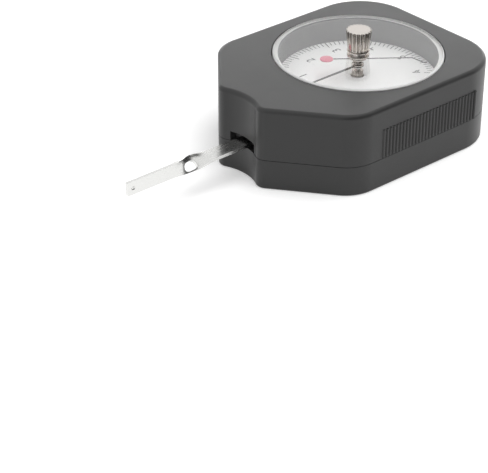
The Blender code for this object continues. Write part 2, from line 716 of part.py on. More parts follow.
def rear_cover(material):
    """Black moulded back: floor, wall with a tongue that enters the front half, and counterbored bosses."""
    seam = PARTING_HEIGHT - SEAM_GAP
    tongue_top = PARTING_HEIGHT + TONGUE_HEIGHT
    body = pulled(case_outline(0), 0, seam)
    round_rim(body, 0, REAR_EDGE_RADIUS)
    shell = made("rear_cover", body, material)
    weld(shell, pulled(case_outline(TONGUE_INSET + SEAM_GAP), seam - OVERRUN, tongue_top))
    hollow = tool(pulled(case_outline(SIDE_WALL), REAR_WALL, tongue_top + OVERRUN))
    screws = case_screw_places()
    boss_low = REAR_WALL - OVERRUN
    boss_top = PARTING_HEIGHT - BOSS_GAP
    cut(hollow, *[rod(REAR_BOSS_RADIUS, boss_low, boss_top, SIDES_SMALL, place) for place in screws])
    combine(shell, [hollow], "DIFFERENCE")
    holes = []
    for place in screws:
        holes.append(rod(COUNTERBORE_RADIUS, -OVERRUN, COUNTERBORE_DEPTH, SIDES_MEDIUM, place))
        holes.append(rod(SCREW_HOLE_RADIUS, -OVERRUN, boss_top + OVERRUN, SIDES_SMALL, place))
    notch_low = NOSE_REACH - NOSE_SCREW_INSET + REAR_BOSS_RADIUS + BOSS_GAP
    notch = rectangle(NOTCH_WIDTH / 2 + SEAM_GAP, notch_low, NOSE_REACH + OVERRUN)
    holes.append(pulled(notch, seam, tongue_top + OVERRUN))
    return cut(shell, *holes)


def screw_body(place, head_low, head_radius, head_height, shank_radius, tip):
    """Pan-head screw with its head below and the end of its shank at height tip."""
    shoulder = head_low + head_height
    profile = [(head_radius, head_low), (head_radius, shoulder), (shank_radius, shoulder),
               (shank_radius, tip)]
    return turned(profile, SIDES_TINY, place)


def slot(place, half_x, half_y, low):
    """The driver's slot, cut up into a head that lies at height low."""
    x, y = place
    outline = [(x - half_x, y - half_y), (x + half_x, y - half_y),
               (x + half_x, y + half_y), (x - half_x, y + half_y)]
    return pulled(outline, low - OVERRUN, low + RECESS_DEPTH)


def case_screws(material):
    """Four self-tapping screws with cross recesses, in the counterbores of the back."""
    names = ("nose_right", "nose_left", "tail_right", "tail_left")
    low = COUNTERBORE_DEPTH - SEAT_GAP - SCREW_HEAD_HEIGHT
    tip = COUNTERBORE_DEPTH + SCREW_LENGTH
    span = SCREW_HEAD_RADIUS * RECESS_SPAN_SHARE
    for name, place in zip(names, case_screw_places()):
        body = screw_body(place, low, SCREW_HEAD_RADIUS, SCREW_HEAD_HEIGHT, SCREW_SHANK_RADIUS, tip)
        screw = made("case_screw_" + name, body, material)
        cut(screw, slot(place, span, RECESS_WIDTH / 2, low), slot(place, RECESS_WIDTH / 2, span, low))


# Window

def lens(material):
    """Clear lens with a bevelled rim, let into the window flush at its edge, with a hole for the bush."""
    hole = LENS_BUSH_RADIUS + PRESS_GAP
    flat = LENS_RADIUS - LENS_BEVEL_WIDTH
    profile = [(hole, LENS_LOW), (LENS_RADIUS, LENS_LOW), (LENS_RADIUS, LENS_TOP - LENS_BEVEL_DROP),
               (flat, LENS_TOP), (hole, LENS_TOP)]
    return made("lens", bored(profile, SIDES_LARGE), material)


def dial_ring(material):
    """Spacer between the dial and the lens, which is the wall seen round the dial, narrower at the dial."""
    low = DIAL_TOP + SEAT_GAP
    high = LENS_LOW - SEAT_GAP
    profile = [(LENS_RADIUS - RING_FOOT_THICKNESS, low), (LENS_RADIUS, low), (LENS_RADIUS, high),
               (LENS_RADIUS - RING_TOP_THICKNESS, high)]
    return made("dial_ring", bored(profile, SIDES_LARGE), material)


def dial_plate(material):
    return made("dial_plate", ring(DIAL_HOLE_RADIUS, DIAL_RADIUS, DIAL_LOW, DIAL_TOP, SIDES_LARGE), material)


def lens_bush(material):
    """Flanged bush through the lens, in which the knob's spindle turns."""
    bore = clear_bore(SPINDLE_RADIUS, SIDES_MEDIUM)
    seat = LENS_TOP + SEAT_GAP
    profile = [(bore, LENS_NUT_LOW), (LENS_BUSH_RADIUS, LENS_NUT_LOW), (LENS_BUSH_RADIUS, seat),
               (LENS_BUSH_FLANGE_RADIUS, seat), (LENS_BUSH_FLANGE_RADIUS, BUSH_FLANGE_TOP),
               (bore, BUSH_FLANGE_TOP)]
    return made("lens_bush", bored(profile, SIDES_MEDIUM), material)


def lens_bush_nut(material):
    return made("lens_bush_nut", ring(LENS_BUSH_RADIUS + PRESS_GAP, LENS_BUSH_FLANGE_RADIUS, LENS_NUT_LOW,
                                      LENS_LOW - SEAT_GAP, SIDES_MEDIUM), material)


# Movement plates

def main_plate(material):
    """Upper plate, screwed up against the well's ledge. It carries the upper bushes and the pillars."""
    upper_right, upper_left, lower_right, lower_left = movement_screw_places()
    centres = [lower_left, lower_right, upper_right, (0, PIVOT_REACH), upper_left]
    plate = made("main_plate", pulled(eared(centres, PLATE_EAR_RADIUS), MAIN_PLATE_LOW, MAIN_PLATE_TOP),
                 material)
    holes = [(place, MOVEMENT_SHANK_RADIUS + PRESS_GAP, SIDES_TINY) for place in centres if place[0] != 0]
    holes += [(place, PILLAR_SPIGOT_RADIUS + PRESS_GAP, SIDES_TINY) for place in pillar_places()]
    holes.append(((0, PIVOT_REACH), LEVER_BUSH_RADIUS + PRESS_GAP, SIDES_SMALL))
    holes.append(((0, 0), PINION_UPPER_BUSH_RADIUS + PRESS_GAP, SIDES_SMALL))
    holes.append((stud_place(), STUD_RADIUS + PRESS_GAP, SIDES_TINY))
    return drilled(plate, holes, MAIN_PLATE_LOW, MAIN_PLATE_TOP)


def bridge_plate(material):
    """Lower plate, screwed to the pillars. It carries the lower bushes, the spring's post and the stops."""
    side_right, side_left, tail = pillar_places()
    stop_right, stop_left = stop_places()
    centres = [tail, stop_right, side_right, (0, PIVOT_REACH), side_left, stop_left]
    plate = made("bridge_plate", pulled(eared(centres, BRIDGE_EAR_RADIUS), BRIDGE_LOW, BRIDGE_TOP), material)
    holes = [(place, BRIDGE_SHANK_RADIUS + PRESS_GAP, SIDES_TINY) for place in pillar_places()]
    holes.append(((0, PIVOT_REACH), LEVER_BUSH_RADIUS + PRESS_GAP, SIDES_SMALL))
    holes.append(((0, 0), PINION_LOWER_BUSH_RADIUS + PRESS_GAP, SIDES_SMALL))
    holes.append((sector_point(POST_REACH, 0), POST_RADIUS + PRESS_GAP, SIDES_TINY))
    holes += [(place, STOP_RADIUS + PRESS_GAP, SIDES_TINY) for place in stop_places()]
    return drilled(plate, holes, BRIDGE_LOW, BRIDGE_TOP)


def drilled(plate, holes, low, high):
    shapes = [rod(radius, low - OVERRUN, high + OVERRUN, sides, place) for place, radius, sides in holes]
    return cut(plate, *shapes)


def pillar_places():
    stop_right, stop_left = stop_places()
    side = (PILLAR_SIDE_X, stop_right[1] + PILLAR_STOP_SPACING)
    return mirrored(side) + [(0, -PILLAR_TAIL_REACH)]


def stop_places():
    """The stops stand just off the sector's straight sides at full swing, near its rim."""
    rim = Vector(sector_point(SECTOR_ROOT_RADIUS, SECTOR_HALF_ANGLE + LEVER_SWING))
    hub = Vector(sector_point(SECTOR_HUB_RADIUS, SECTOR_SIDE_ANGLE + LEVER_SWING))
    along = (hub - rim).normalized()
    outward = Vector((along.y, -along.x))
    return mirrored(rim + along * STOP_INSET + outward * (STOP_RADIUS + STOP_GAP))


def pillars(material):
    """Pillars riveted into the main plate, each tapped for a bridge screw."""
    low = BRIDGE_TOP + SEAT_GAP
    high = MAIN_PLATE_LOW - SEAT_GAP
    tapped = BRIDGE_SHANK_RADIUS + PRESS_GAP
    tapped_end = low + BRIDGE_SCREW_BITE + PRESS_GAP
    profile = [(tapped, tapped_end), (tapped, low), (PILLAR_RADIUS, low), (PILLAR_RADIUS, high),
               (PILLAR_SPIGOT_RADIUS, high), (PILLAR_SPIGOT_RADIUS, MAIN_PLATE_TOP)]
    for name, place in zip(("right", "left", "tail"), pillar_places()):
        made("pillar_" + name, turned(profile, SIDES_TINY, place), material)


def bridge_screws(material):
    head_low = BRIDGE_LOW - SEAT_GAP - BRIDGE_HEAD_HEIGHT
    tip = BRIDGE_TOP + SEAT_GAP + BRIDGE_SCREW_BITE
    for name, place in zip(("right", "left", "tail"), pillar_places()):
        body = screw_body(place, head_low, BRIDGE_HEAD_RADIUS, BRIDGE_HEAD_HEIGHT, BRIDGE_SHANK_RADIUS, tip)
        screw = made("bridge_screw_" + name, body, material)
        cut(screw, slot(place, BRIDGE_HEAD_RADIUS + OVERRUN, SLOT_WIDTH / 2, head_low))


def movement_screws(material):
    names = ("upper_right", "upper_left", "lower_right", "lower_left")
    head_low = MAIN_PLATE_LOW - SEAT_GAP - MOVEMENT_HEAD_HEIGHT
    tip = LEDGE_LOW + MOVEMENT_SCREW_BITE
    for name, place in zip(names, movement_screw_places()):
        body = screw_body(place, head_low, MOVEMENT_HEAD_RADIUS, MOVEMENT_HEAD_HEIGHT, MOVEMENT_SHANK_RADIUS,
                          tip)
        screw = made("movement_screw_" + name, body, material)
        cut(screw, slot(place, MOVEMENT_HEAD_RADIUS + OVERRUN, SLOT_WIDTH / 2, head_low))


def lever_bushes(material):
    pivot = (0, PIVOT_REACH)
    bore = clear_bore(LEVER_ARBOR_RADIUS, SIDES_SMALL)
    lip = LEVER_BUSH_RADIUS + BUSH_FLANGE_LIP
    lower = [(bore, BRIDGE_LOW), (LEVER_BUSH_RADIUS, BRIDGE_LOW), (LEVER_BUSH_RADIUS, BRIDGE_TOP + SEAT_GAP),
             (lip, BRIDGE_TOP + SEAT_GAP), (lip, LOWER_BUSH_TOP), (bore, LOWER_BUSH_TOP)]
    upper = [(bore, UPPER_BUSH_LOW), (lip, UPPER_BUSH_LOW), (lip, MAIN_PLATE_LOW - SEAT_GAP),
             (LEVER_BUSH_RADIUS, MAIN_PLATE_LOW - SEAT_GAP), (LEVER_BUSH_RADIUS, MAIN_PLATE_TOP),
             (bore, MAIN_PLATE_TOP)]
    made("lever_bush_lower", bored(lower, SIDES_SMALL, pivot), material)
    made("lever_bush_upper", bored(upper, SIDES_SMALL, pivot), material)


def pinion_bushes(material):
    """The upper bush has a sleeve that comes up through the dial."""
    lower_bore = clear_bore(ARBOR_PIVOT_RADIUS, SIDES_SMALL)
    lip = PINION_LOWER_BUSH_RADIUS + BUSH_FLANGE_LIP
    lower = [(lower_bore, BRIDGE_LOW), (PINION_LOWER_BUSH_RADIUS, BRIDGE_LOW),
             (PINION_LOWER_BUSH_RADIUS, BRIDGE_TOP + SEAT_GAP), (lip, BRIDGE_TOP + SEAT_GAP),
             (lip, LOWER_BUSH_TOP), (lower_bore, LOWER_BUSH_TOP)]
    bore = clear_bore(ARBOR_SHAFT_RADIUS, SIDES_SMALL)
    flange_low = MAIN_PLATE_TOP + SEAT_GAP
    flange_top = flange_low + PINION_UPPER_FLANGE_THICKNESS
    upper_lip = PINION_UPPER_BUSH_RADIUS + BUSH_FLANGE_LIP
    upper = [(bore, MAIN_PLATE_LOW), (PINION_UPPER_BUSH_RADIUS, MAIN_PLATE_LOW),
             (PINION_UPPER_BUSH_RADIUS, flange_low), (upper_lip, flange_low), (upper_lip, flange_top),
             (PINION_SLEEVE_RADIUS, flange_top), (PINION_SLEEVE_RADIUS, PINION_SLEEVE_TOP),
             (bore, PINION_SLEEVE_TOP)]
    made("pinion_bush_lower", bored(lower, SIDES_SMALL), material)
    made("pinion_bush_upper", bored(upper, SIDES_SMALL), material)


def posts(material):
    """The fixed post of the centring spring and the two stops, pressed into the bridge."""
    post_top = SECTOR_LOW - BOSS_GAP
    post_place = sector_point(POST_REACH, 0)
    made("spring_post", rod(POST_RADIUS, BRIDGE_LOW, post_top, SIDES_TINY, post_place), material)
    stop_top = SECTOR_TOP + STOP_HEAD
    for name, place in zip(("stop_pin_right", "stop_pin_left"), stop_places()):
        made(name, rod(STOP_RADIUS, BRIDGE_LOW, stop_top, SIDES_TINY, place), material)


def stud_place():
    reach = HAIRSPRING_OUTER_RADIUS + HAIRSPRING_STRIP + SEAT_GAP + STUD_RADIUS
    return polar((0, 0), reach, HAIRSPRING_END_ANGLE)


def hairspring_stud(material):
    return made("hairspring_stud", rod(STUD_RADIUS, COLLET_LOW, MAIN_PLATE_TOP, SIDES_TINY, stud_place()),
                material)


# Lever body

def lever_half_width(reach):
    """Half of the strip's width at a distance from the dial's axis along the lever."""
    along = reach - PIVOT_REACH
    half = LEVER_WIDTH / 2
    if along < LEVER_HEAD_RADIUS:
        return max(half * (along > 0), math.sqrt(LEVER_HEAD_RADIUS ** 2 - along ** 2))
    return half + (BLADE_WIDTH / 2 - half) * twist_share(reach)


def twist_share(reach):
    """How far the quarter twist has gone, with a gentle start and end."""
    share = min(1.0, max(0.0, (reach - TWIST_START) / (TWIST_END - TWIST_START)))
    return share * share * (3 - 2 * share)


def lever_stations():
    """Distances from the dial's axis at which the strip's width or twist is set."""
    last = math.acos(LEVER_WIDTH / 2 / LEVER_HEAD_RADIUS)
    first = -math.acos(LEVER_HEAD_END_SHARE)
    head = []
    for k in range(LEVER_HEAD_STEPS + 1):
        angle = first + (last - first) * k / LEVER_HEAD_STEPS
        head.append(PIVOT_REACH + LEVER_HEAD_RADIUS * math.sin(angle))
    step = (TWIST_END - TWIST_START) / TWIST_STEPS
    twist = [TWIST_START + step * k for k in range(TWIST_STEPS + 1)]
    window = (TWIST_WINDOW_START, TWIST_WINDOW_END)
    twist = [y for y in twist if all(abs(y - edge) > step / 2 for edge in window)]
    twist = sorted(twist + list(window))
    return head + twist + [LEVER_TIP_REACH - BLADE_TIP_CHAMFER, LEVER_TIP_REACH]


def lever(material):
    """Steel strip with a round head on the hub, a quarter twist with a window in it, and a blade on edge."""
    stations = lever_stations()
    bm = bmesh.new()
    rows = []
    for reach in stations:
        half = lever_half_width(reach)
        if reach == stations[-1]:
            half -= BLADE_TIP_CHAMFER
        inner = min(TWIST_WINDOW_WIDTH / 2, half * TWIST_WINDOW_WIDTH / LEVER_WIDTH)
        rows.append([bm.verts.new((x, reach, LEVER_LOW)) for x in (-half, -inner, inner, half)])
    for row, after, reach in zip(rows, rows[1:], stations):
        for k in range(len(row) - 1):
            is_window = k == 1 and TWIST_WINDOW_START - MERGE < reach < TWIST_WINDOW_END - MERGE
            if not is_window:
                bm.faces.new((row[k], row[k + 1], after[k + 1], after[k]))
    grown = bmesh.ops.extrude_face_region(bm, geom=bm.faces[:])["geom"]
    raised = [item for item in grown if isinstance(item, bmesh.types.BMVert)]
    bmesh.ops.translate(bm, verts=raised, vec=(0, 0, LEVER_THICKNESS))
    bmesh.ops.recalc_face_normals(bm, faces=bm.faces)
    middle = LEVER_LOW + LEVER_THICKNESS / 2
    for vert in bm.verts:
        turn = Matrix.Rotation(-QUARTER_TURN * twist_share(vert.co.y), 3, "Y")
        offset = turn @ Vector((vert.co.x, 0, vert.co.z - middle))
        vert.co = (offset.x, vert.co.y, middle + offset.z)
    strip = made("lever", bm, material)
    pivot = (0, PIVOT_REACH)
    below = LEVER_LOW - OVERRUN
    above = LEVER_TOP + OVERRUN
    holes = [rod(HUB_RADIUS + PRESS_GAP, below, above, SIDES_SMALL, pivot)]
    holes += [rod(RIVET_RADIUS + PRESS_GAP, below, above, SIDES_TINY, place) for place in rivet_places()]
    hole = rod(TIP_HOLE_RADIUS, -LEVER_WIDTH, LEVER_WIDTH, SIDES_SMALL)
    bmesh.ops.rotate(hole, verts=hole.verts, matrix=Matrix.Rotation(QUARTER_TURN, 3, "Y"))
    bmesh.ops.translate(hole, verts=hole.verts, vec=(0, LEVER_TIP_REACH - TIP_HOLE_INSET, middle))
    return cut(strip, *holes, hole)


def rivet_places():
    return mirrored((RIVET_OFFSET, PIVOT_REACH))


def lever_hub(material):
    """Turned hub: the lever lies on its flange and the sector under it."""
    bore = LEVER_ARBOR_RADIUS + PRESS_GAP
    profile = [(bore, HUB_LOW), (HUB_RADIUS, HUB_LOW), (HUB_RADIUS, HUB_FLANGE_LOW),
               (SECTOR_HUB_RADIUS, HUB_FLANGE_LOW), (SECTOR_HUB_RADIUS, HUB_FLANGE_TOP),
               (HUB_RADIUS, HUB_FLANGE_TOP), (HUB_RADIUS, HUB_TOP), (bore, HUB_TOP)]
    hub = made("lever_hub", bored(profile, SIDES_SMALL, (0, PIVOT_REACH)), material)
    holes = [(place, RIVET_RADIUS + PRESS_GAP, SIDES_TINY) for place in rivet_places()]
    return drilled(hub, holes, HUB_FLANGE_LOW, HUB_FLANGE_TOP)


def lever_arbor(material):
    low = BRIDGE_LOW + ARBOR_END_INSET
    high = MAIN_PLATE_TOP - ARBOR_END_INSET
    return made("lever_arbor", rod(LEVER_ARBOR_RADIUS, low, high, SIDES_SMALL, (0, PIVOT_REACH)), material)


def lever_rivets(material):
    """Two rivets that clamp the lever, the hub's flange and the sector."""
    head_low = LEVER_TOP + SEAT_GAP
    head_top = head_low + RIVET_HEAD_HEIGHT
    profile = [(RIVET_RADIUS, SECTOR_LOW), (RIVET_RADIUS, head_low), (RIVET_HEAD_RADIUS, head_low),
               (RIVET_HEAD_RADIUS, head_top)]
    for name, place in zip(("right", "left"), rivet_places()):
        made("lever_rivet_" + name, turned(profile, SIDES_TINY, place), material)


def gear_sector(material):
    """Brass sector with involute teeth, a lightening window and a hole for the spring's pin."""
    sector = made("gear_sector", pulled(sector_outline(), SECTOR_LOW, SECTOR_TOP), material)
    below = SECTOR_LOW - OVERRUN
    above = SECTOR_TOP + OVERRUN
    holes = [pulled(sector_window(), below, above),
             rod(HUB_RADIUS + PRESS_GAP, below, above, SIDES_SMALL, (0, PIVOT_REACH)),
             rod(POST_RADIUS + PRESS_GAP, below, above, SIDES_TINY, sector_point(SECTOR_PIN_REACH, 0))]
    holes += [rod(RIVET_RADIUS + PRESS_GAP, below, above, SIDES_TINY, place) for place in rivet_places()]
    return cut(sector, *holes)


def sector_pin(material):
    low = SECTOR_LOW - PIN_DROP
    place = sector_point(SECTOR_PIN_REACH, 0)
    return made("sector_pin", rod(POST_RADIUS, low, SECTOR_TOP, SIDES_TINY, place), material)


def centring_spring(material):
    """Torsion spring round the hub. Its legs straddle the fixed post and the sector's pin."""
    leg_x = POST_RADIUS + SEAT_GAP + SPRING_WIRE_RADIUS
    leg_end = PIVOT_REACH - POST_REACH - 2 * POST_RADIUS
    low = HUB_LOW + SPRING_FLOOR_GAP + SPRING_WIRE_RADIUS
    steps = int(SPRING_POINTS_PER_TURN * SPRING_TURNS)
    coil = []
    for k in range(steps + 1):
        x, y = polar((0, PIVOT_REACH), SPRING_COIL_RADIUS, FULL_TURN * SPRING_TURNS * k / steps)
        coil.append((x, y, low + SPRING_PITCH * SPRING_TURNS * k / steps))
    leg = [(leg_x, leg_end), (leg_x, leg_end + SPRING_LEG_STRAIGHT)]
    for k in range(1, SPRING_LEG_POINTS):
        share = k / SPRING_LEG_POINTS
        ease = share * share * (3 - 2 * share)
        start = leg_end + SPRING_LEG_STRAIGHT
        leg.append((leg_x + (SPRING_COIL_RADIUS - leg_x) * ease, start + (PIVOT_REACH - start) * share))
    first = [(x, y, coil[0][2]) for x, y in leg]
    last = [(-x, y, coil[-1][2]) for x, y in reversed(leg)]
    return made("centring_spring", swept(first + coil + last, SPRING_WIRE_RADIUS, SPRING_SIDE_RESOLUTION),
                material)


# Pointer body

def pinion_arbor(material):
    """Steel arbor with the pinion's leaves cut on it, a thin lower pivot and the shaft up to the needle."""
    lower_shoulder = LOWER_BUSH_TOP + RUN_GAP
    upper_shoulder = MAIN_PLATE_LOW - RUN_GAP
    profile = [(ARBOR_PIVOT_RADIUS, BRIDGE_LOW + ARBOR_END_INSET), (ARBOR_PIVOT_RADIUS, lower_shoulder),
               (ARBOR_RADIUS, lower_shoulder), (ARBOR_RADIUS, upper_shoulder),
               (ARBOR_SHAFT_RADIUS, upper_shoulder), (ARBOR_SHAFT_RADIUS, ARBOR_TOP)]
    arbor = made("pinion_arbor", turned(profile, SIDES_SMALL), material)
    return weld(arbor, pulled(pinion_outline(), PINION_LOW, PINION_LOW + PINION_LENGTH))


def hairspring_collet(material):
    return made("hairspring_collet", ring(ARBOR_RADIUS + PRESS_GAP, COLLET_RADIUS, COLLET_LOW,
                                          COLLET_LOW + COLLET_HEIGHT, SIDES_SMALL), material)


def hairspring(material):
    """Flat spiral from the collet out to the stud."""
    inner_radius = COLLET_RADIUS + PRESS_GAP
    steps = HAIRSPRING_TURNS * HAIRSPRING_POINTS_PER_TURN
    inner = []
    outer = []
    for k in range(steps + 1):
        angle = HAIRSPRING_END_ANGLE + FULL_TURN * HAIRSPRING_TURNS * k / steps
        radius = inner_radius + (HAIRSPRING_OUTER_RADIUS - inner_radius) * k / steps
        inner.append(polar((0, 0), radius, angle))
        outer.append(polar((0, 0), radius + HAIRSPRING_STRIP, angle))
    low = COLLET_LOW + (COLLET_HEIGHT - HAIRSPRING_HEIGHT) / 2
    outline = outer + list(reversed(inner))
    return made("hairspring", pulled(outline, low, low + HAIRSPRING_HEIGHT), material)


def live_pointer(material):
    """Thin tapered needle with an eye on the hub's spigot."""
    eye = made("live_pointer", rod(NEEDLE_EYE_RADIUS, NEEDLE_LOW, NEEDLE_TOP, SIDES_SMALL), material)
    blade = [(-NEEDLE_ROOT_WIDTH / 2, 0), (NEEDLE_ROOT_WIDTH / 2, 0), (NEEDLE_TIP_WIDTH / 2, NEEDLE_REACH),
             (-NEEDLE_TIP_WIDTH / 2, NEEDLE_REACH)]
    weld(eye, pulled(blade, NEEDLE_LOW, NEEDLE_TOP))
    bore = NEEDLE_SPIGOT_RADIUS + PRESS_GAP
    return cut(eye, rod(bore, NEEDLE_LOW - OVERRUN, NEEDLE_TOP + OVERRUN, SIDES_SMALL))


def live_pointer_hub(material):
    bore = ARBOR_SHAFT_RADIUS + PRESS_GAP
    flange_low = NEEDLE_TOP + SEAT_GAP
    profile = [(bore, NEEDLE_SPIGOT_LOW), (NEEDLE_SPIGOT_RADIUS, NEEDLE_SPIGOT_LOW),
               (NEEDLE_SPIGOT_RADIUS, flange_low), (NEEDLE_EYE_RADIUS, flange_low),
               (NEEDLE_EYE_RADIUS, NEEDLE_HUB_TOP), (bore, NEEDLE_HUB_TOP)]
    return made("live_pointer_hub", bored(profile, SIDES_SMALL), material)


# Peak body

def peak_point(reach, height):
    return (reach * math.sin(PEAK_ANGLE), reach * math.cos(PEAK_ANGLE), height)


def peak_pointer(material):
    """Red wire with an eye on the spindle, a round tail and a foot bent down to the needle."""
    high = PEAK_EYE_LOW + PEAK_EYE_THICKNESS
    pointer = made("peak_pointer", rod(PEAK_EYE_RADIUS, PEAK_EYE_LOW, high, SIDES_SMALL), material)
    wire = [peak_point(-PEAK_TAIL_REACH, PEAK_WIRE_HEIGHT), peak_point(PEAK_BEND_REACH, PEAK_WIRE_HEIGHT),
            peak_point(PEAK_FOOT_REACH, PEAK_FOOT_HEIGHT), peak_point(PEAK_TIP_REACH, PEAK_FOOT_HEIGHT)]
    tail = peak_point(-PEAK_TAIL_REACH, PEAK_WIRE_HEIGHT)
    weld(pointer, swept(wire, PEAK_WIRE_RADIUS, PEAK_WIRE_RESOLUTION),
         rod(PEAK_TAIL_RADIUS, PEAK_EYE_LOW, high, SIDES_MEDIUM, tail[:2]))
    bore = SPINDLE_RADIUS + PRESS_GAP
    return cut(pointer, rod(bore, PEAK_EYE_LOW - OVERRUN, high + OVERRUN, SIDES_SMALL))


def peak_pointer_hub(material):
    high = PEAK_HUB_LOW + PEAK_HUB_THICKNESS
    return made("peak_pointer_hub", ring(SPINDLE_RADIUS + PRESS_GAP, PEAK_HUB_RADIUS, PEAK_HUB_LOW, high,
                                         SIDES_SMALL), material)


def knob_spindle(material):
    low = PEAK_EYE_LOW - SEAT_GAP
    high = KNOB_TOP - KNOB_SOCKET_SPARE - SEAT_GAP
    return made("knob_spindle", rod(SPINDLE_RADIUS, low, high, SIDES_SMALL), material)


def friction_washer(material):
    return made("friction_washer", ring(WASHER_HOLE_RADIUS, WASHER_RADIUS, WASHER_LOW,
                                        WASHER_LOW + WASHER_THICKNESS, SIDES_SMALL), material)


def reset_knob(material):
    """Fluted knob, tapered towards the lens, with a socket for the spindle."""
    stages = [(KNOB_LOW, KNOB_FOOT_RADIUS - KNOB_CHAMFER), (KNOB_LOW + KNOB_CHAMFER, KNOB_FOOT_RADIUS),
              (KNOB_TOP - KNOB_CHAMFER / 2, KNOB_RADIUS), (KNOB_TOP, KNOB_RADIUS - KNOB_CHAMFER / 2)]
    bm = bmesh.new()
    rows = [[bm.verts.new((x, y, height)) for x, y in knob_outline(radius)] for height, radius in stages]
    loops = [[bm.edges.new((row[k - 1], row[k])) for k in range(len(row))] for row in rows]
    for lower, upper in zip(loops, loops[1:]):
        bmesh.ops.bridge_loops(bm, edges=lower + upper)
    bm.faces.new(rows[0])
    bm.faces.new(rows[-1])
    bmesh.ops.recalc_face_normals(bm, faces=bm.faces)
    knob = made("reset_knob", bm, material)
    return cut(knob, rod(SPINDLE_RADIUS + PRESS_GAP, KNOB_LOW - OVERRUN, KNOB_TOP - KNOB_SOCKET_SPARE,
                         SIDES_SMALL))


# Assembly

def hang(axis_name, place, names):
    """Parent the pieces of a moving body to an empty on its axis."""
    axis = bpy.data.objects.new(axis_name, None)
    bpy.context.collection.objects.link(axis)
    axis.location = place
    for name in names:
        piece = bpy.data.objects[name]
        piece.parent = axis
        piece.matrix_parent_inverse = Matrix.Translation(place).inverted()


for old in list(bpy.data.objects):
    bpy.data.objects.remove(old)

black_plastic = surface("black_moulded_plastic", (0.045, 0.045, 0.047), 0.5)
acrylic = clear_acrylic()
white_enamel = surface("white_enamelled_dial", (0.88, 0.88, 0.87), 0.35)
grey_plastic = surface("grey_ring_plastic", (0.3, 0.3, 0.3), 0.5)
nickel = surface("nickel_plate", (0.72, 0.69, 0.66), 0.2, 1.0)
bright_steel = surface("bright_steel", (0.75, 0.75, 0.74), 0.22, 1.0)
zinc = surface("zinc_plated_steel", (0.7, 0.7, 0.7), 0.35, 1.0)
brass = surface("brass", (0.78, 0.6, 0.3), 0.35, 1.0)
spring_steel = surface("spring_steel", (0.35, 0.36, 0.4), 0.3, 1.0)
black_paint = surface("black_paint", (0.03, 0.03, 0.03), 0.4)
red_paint = surface("red_paint", (0.75, 0.12, 0.18), 0.4)

front_case(black_plastic)
rear_cover(black_plastic)
case_screws(zinc)
lens(acrylic)
dial_ring(grey_plastic)
dial_plate(white_enamel)
lens_bush(nickel)
lens_bush_nut(nickel)
main_plate(brass)
bridge_plate(brass)
pillars(brass)
bridge_screws(zinc)
movement_screws(zinc)
lever_bushes(brass)
pinion_bushes(nickel)
posts(bright_steel)
hairspring_stud(bright_steel)

lever(bright_steel)
lever_hub(brass)
lever_arbor(bright_steel)
lever_rivets(zinc)
gear_sector(brass)
sector_pin(bright_steel)
centring_spring(spring_steel)

pinion_arbor(bright_steel)
hairspring_collet(brass)
hairspring(spring_steel)
live_pointer(black_paint)
live_pointer_hub(nickel)

peak_pointer(red_paint)
peak_pointer_hub(nickel)
knob_spindle(bright_steel)
friction_washer(spring_steel)
reset_knob(nickel)

hang("lever_pivot", (0, PIVOT_REACH, 0),
     ("lever", "lever_hub", "lever_arbor", "lever_rivet_right", "lever_rivet_left", "gear_sector",
      "sector_pin"))
hang("pointer_axis", (0, 0, 0),
     ("pinion_arbor", "hairspring_collet", "live_pointer", "live_pointer_hub"))
hang("peak_axis", (0, 0, 0),
     ("peak_pointer", "peak_pointer_hub", "knob_spindle", "friction_washer", "reset_knob"))
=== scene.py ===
import math

import bmesh
import bpy
from mathutils import Matrix, Vector


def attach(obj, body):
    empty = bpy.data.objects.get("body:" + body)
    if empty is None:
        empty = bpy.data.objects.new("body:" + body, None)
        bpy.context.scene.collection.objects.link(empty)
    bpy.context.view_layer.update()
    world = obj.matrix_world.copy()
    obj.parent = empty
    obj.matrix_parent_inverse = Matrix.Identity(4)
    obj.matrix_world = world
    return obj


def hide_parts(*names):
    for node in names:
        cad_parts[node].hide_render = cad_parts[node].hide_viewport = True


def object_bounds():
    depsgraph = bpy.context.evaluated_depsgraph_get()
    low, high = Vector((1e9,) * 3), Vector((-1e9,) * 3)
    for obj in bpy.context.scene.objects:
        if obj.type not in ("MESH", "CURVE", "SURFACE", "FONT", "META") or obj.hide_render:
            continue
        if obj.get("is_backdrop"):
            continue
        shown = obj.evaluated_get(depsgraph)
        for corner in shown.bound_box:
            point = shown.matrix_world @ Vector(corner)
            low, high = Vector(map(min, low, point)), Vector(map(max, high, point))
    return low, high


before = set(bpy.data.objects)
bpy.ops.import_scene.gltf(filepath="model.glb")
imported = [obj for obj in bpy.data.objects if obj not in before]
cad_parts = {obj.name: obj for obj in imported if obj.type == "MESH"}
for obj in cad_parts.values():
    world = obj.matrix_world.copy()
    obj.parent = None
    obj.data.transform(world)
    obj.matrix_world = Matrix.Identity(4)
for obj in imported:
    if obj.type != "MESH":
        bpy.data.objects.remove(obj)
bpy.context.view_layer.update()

bpy.context.scene.view_settings.view_transform = "Standard"


# Back of the case: a shallow tray of black ABS, injection moulded, with a tongue that enters the front
# half, four bosses for the case screws and a shallow place for the label.

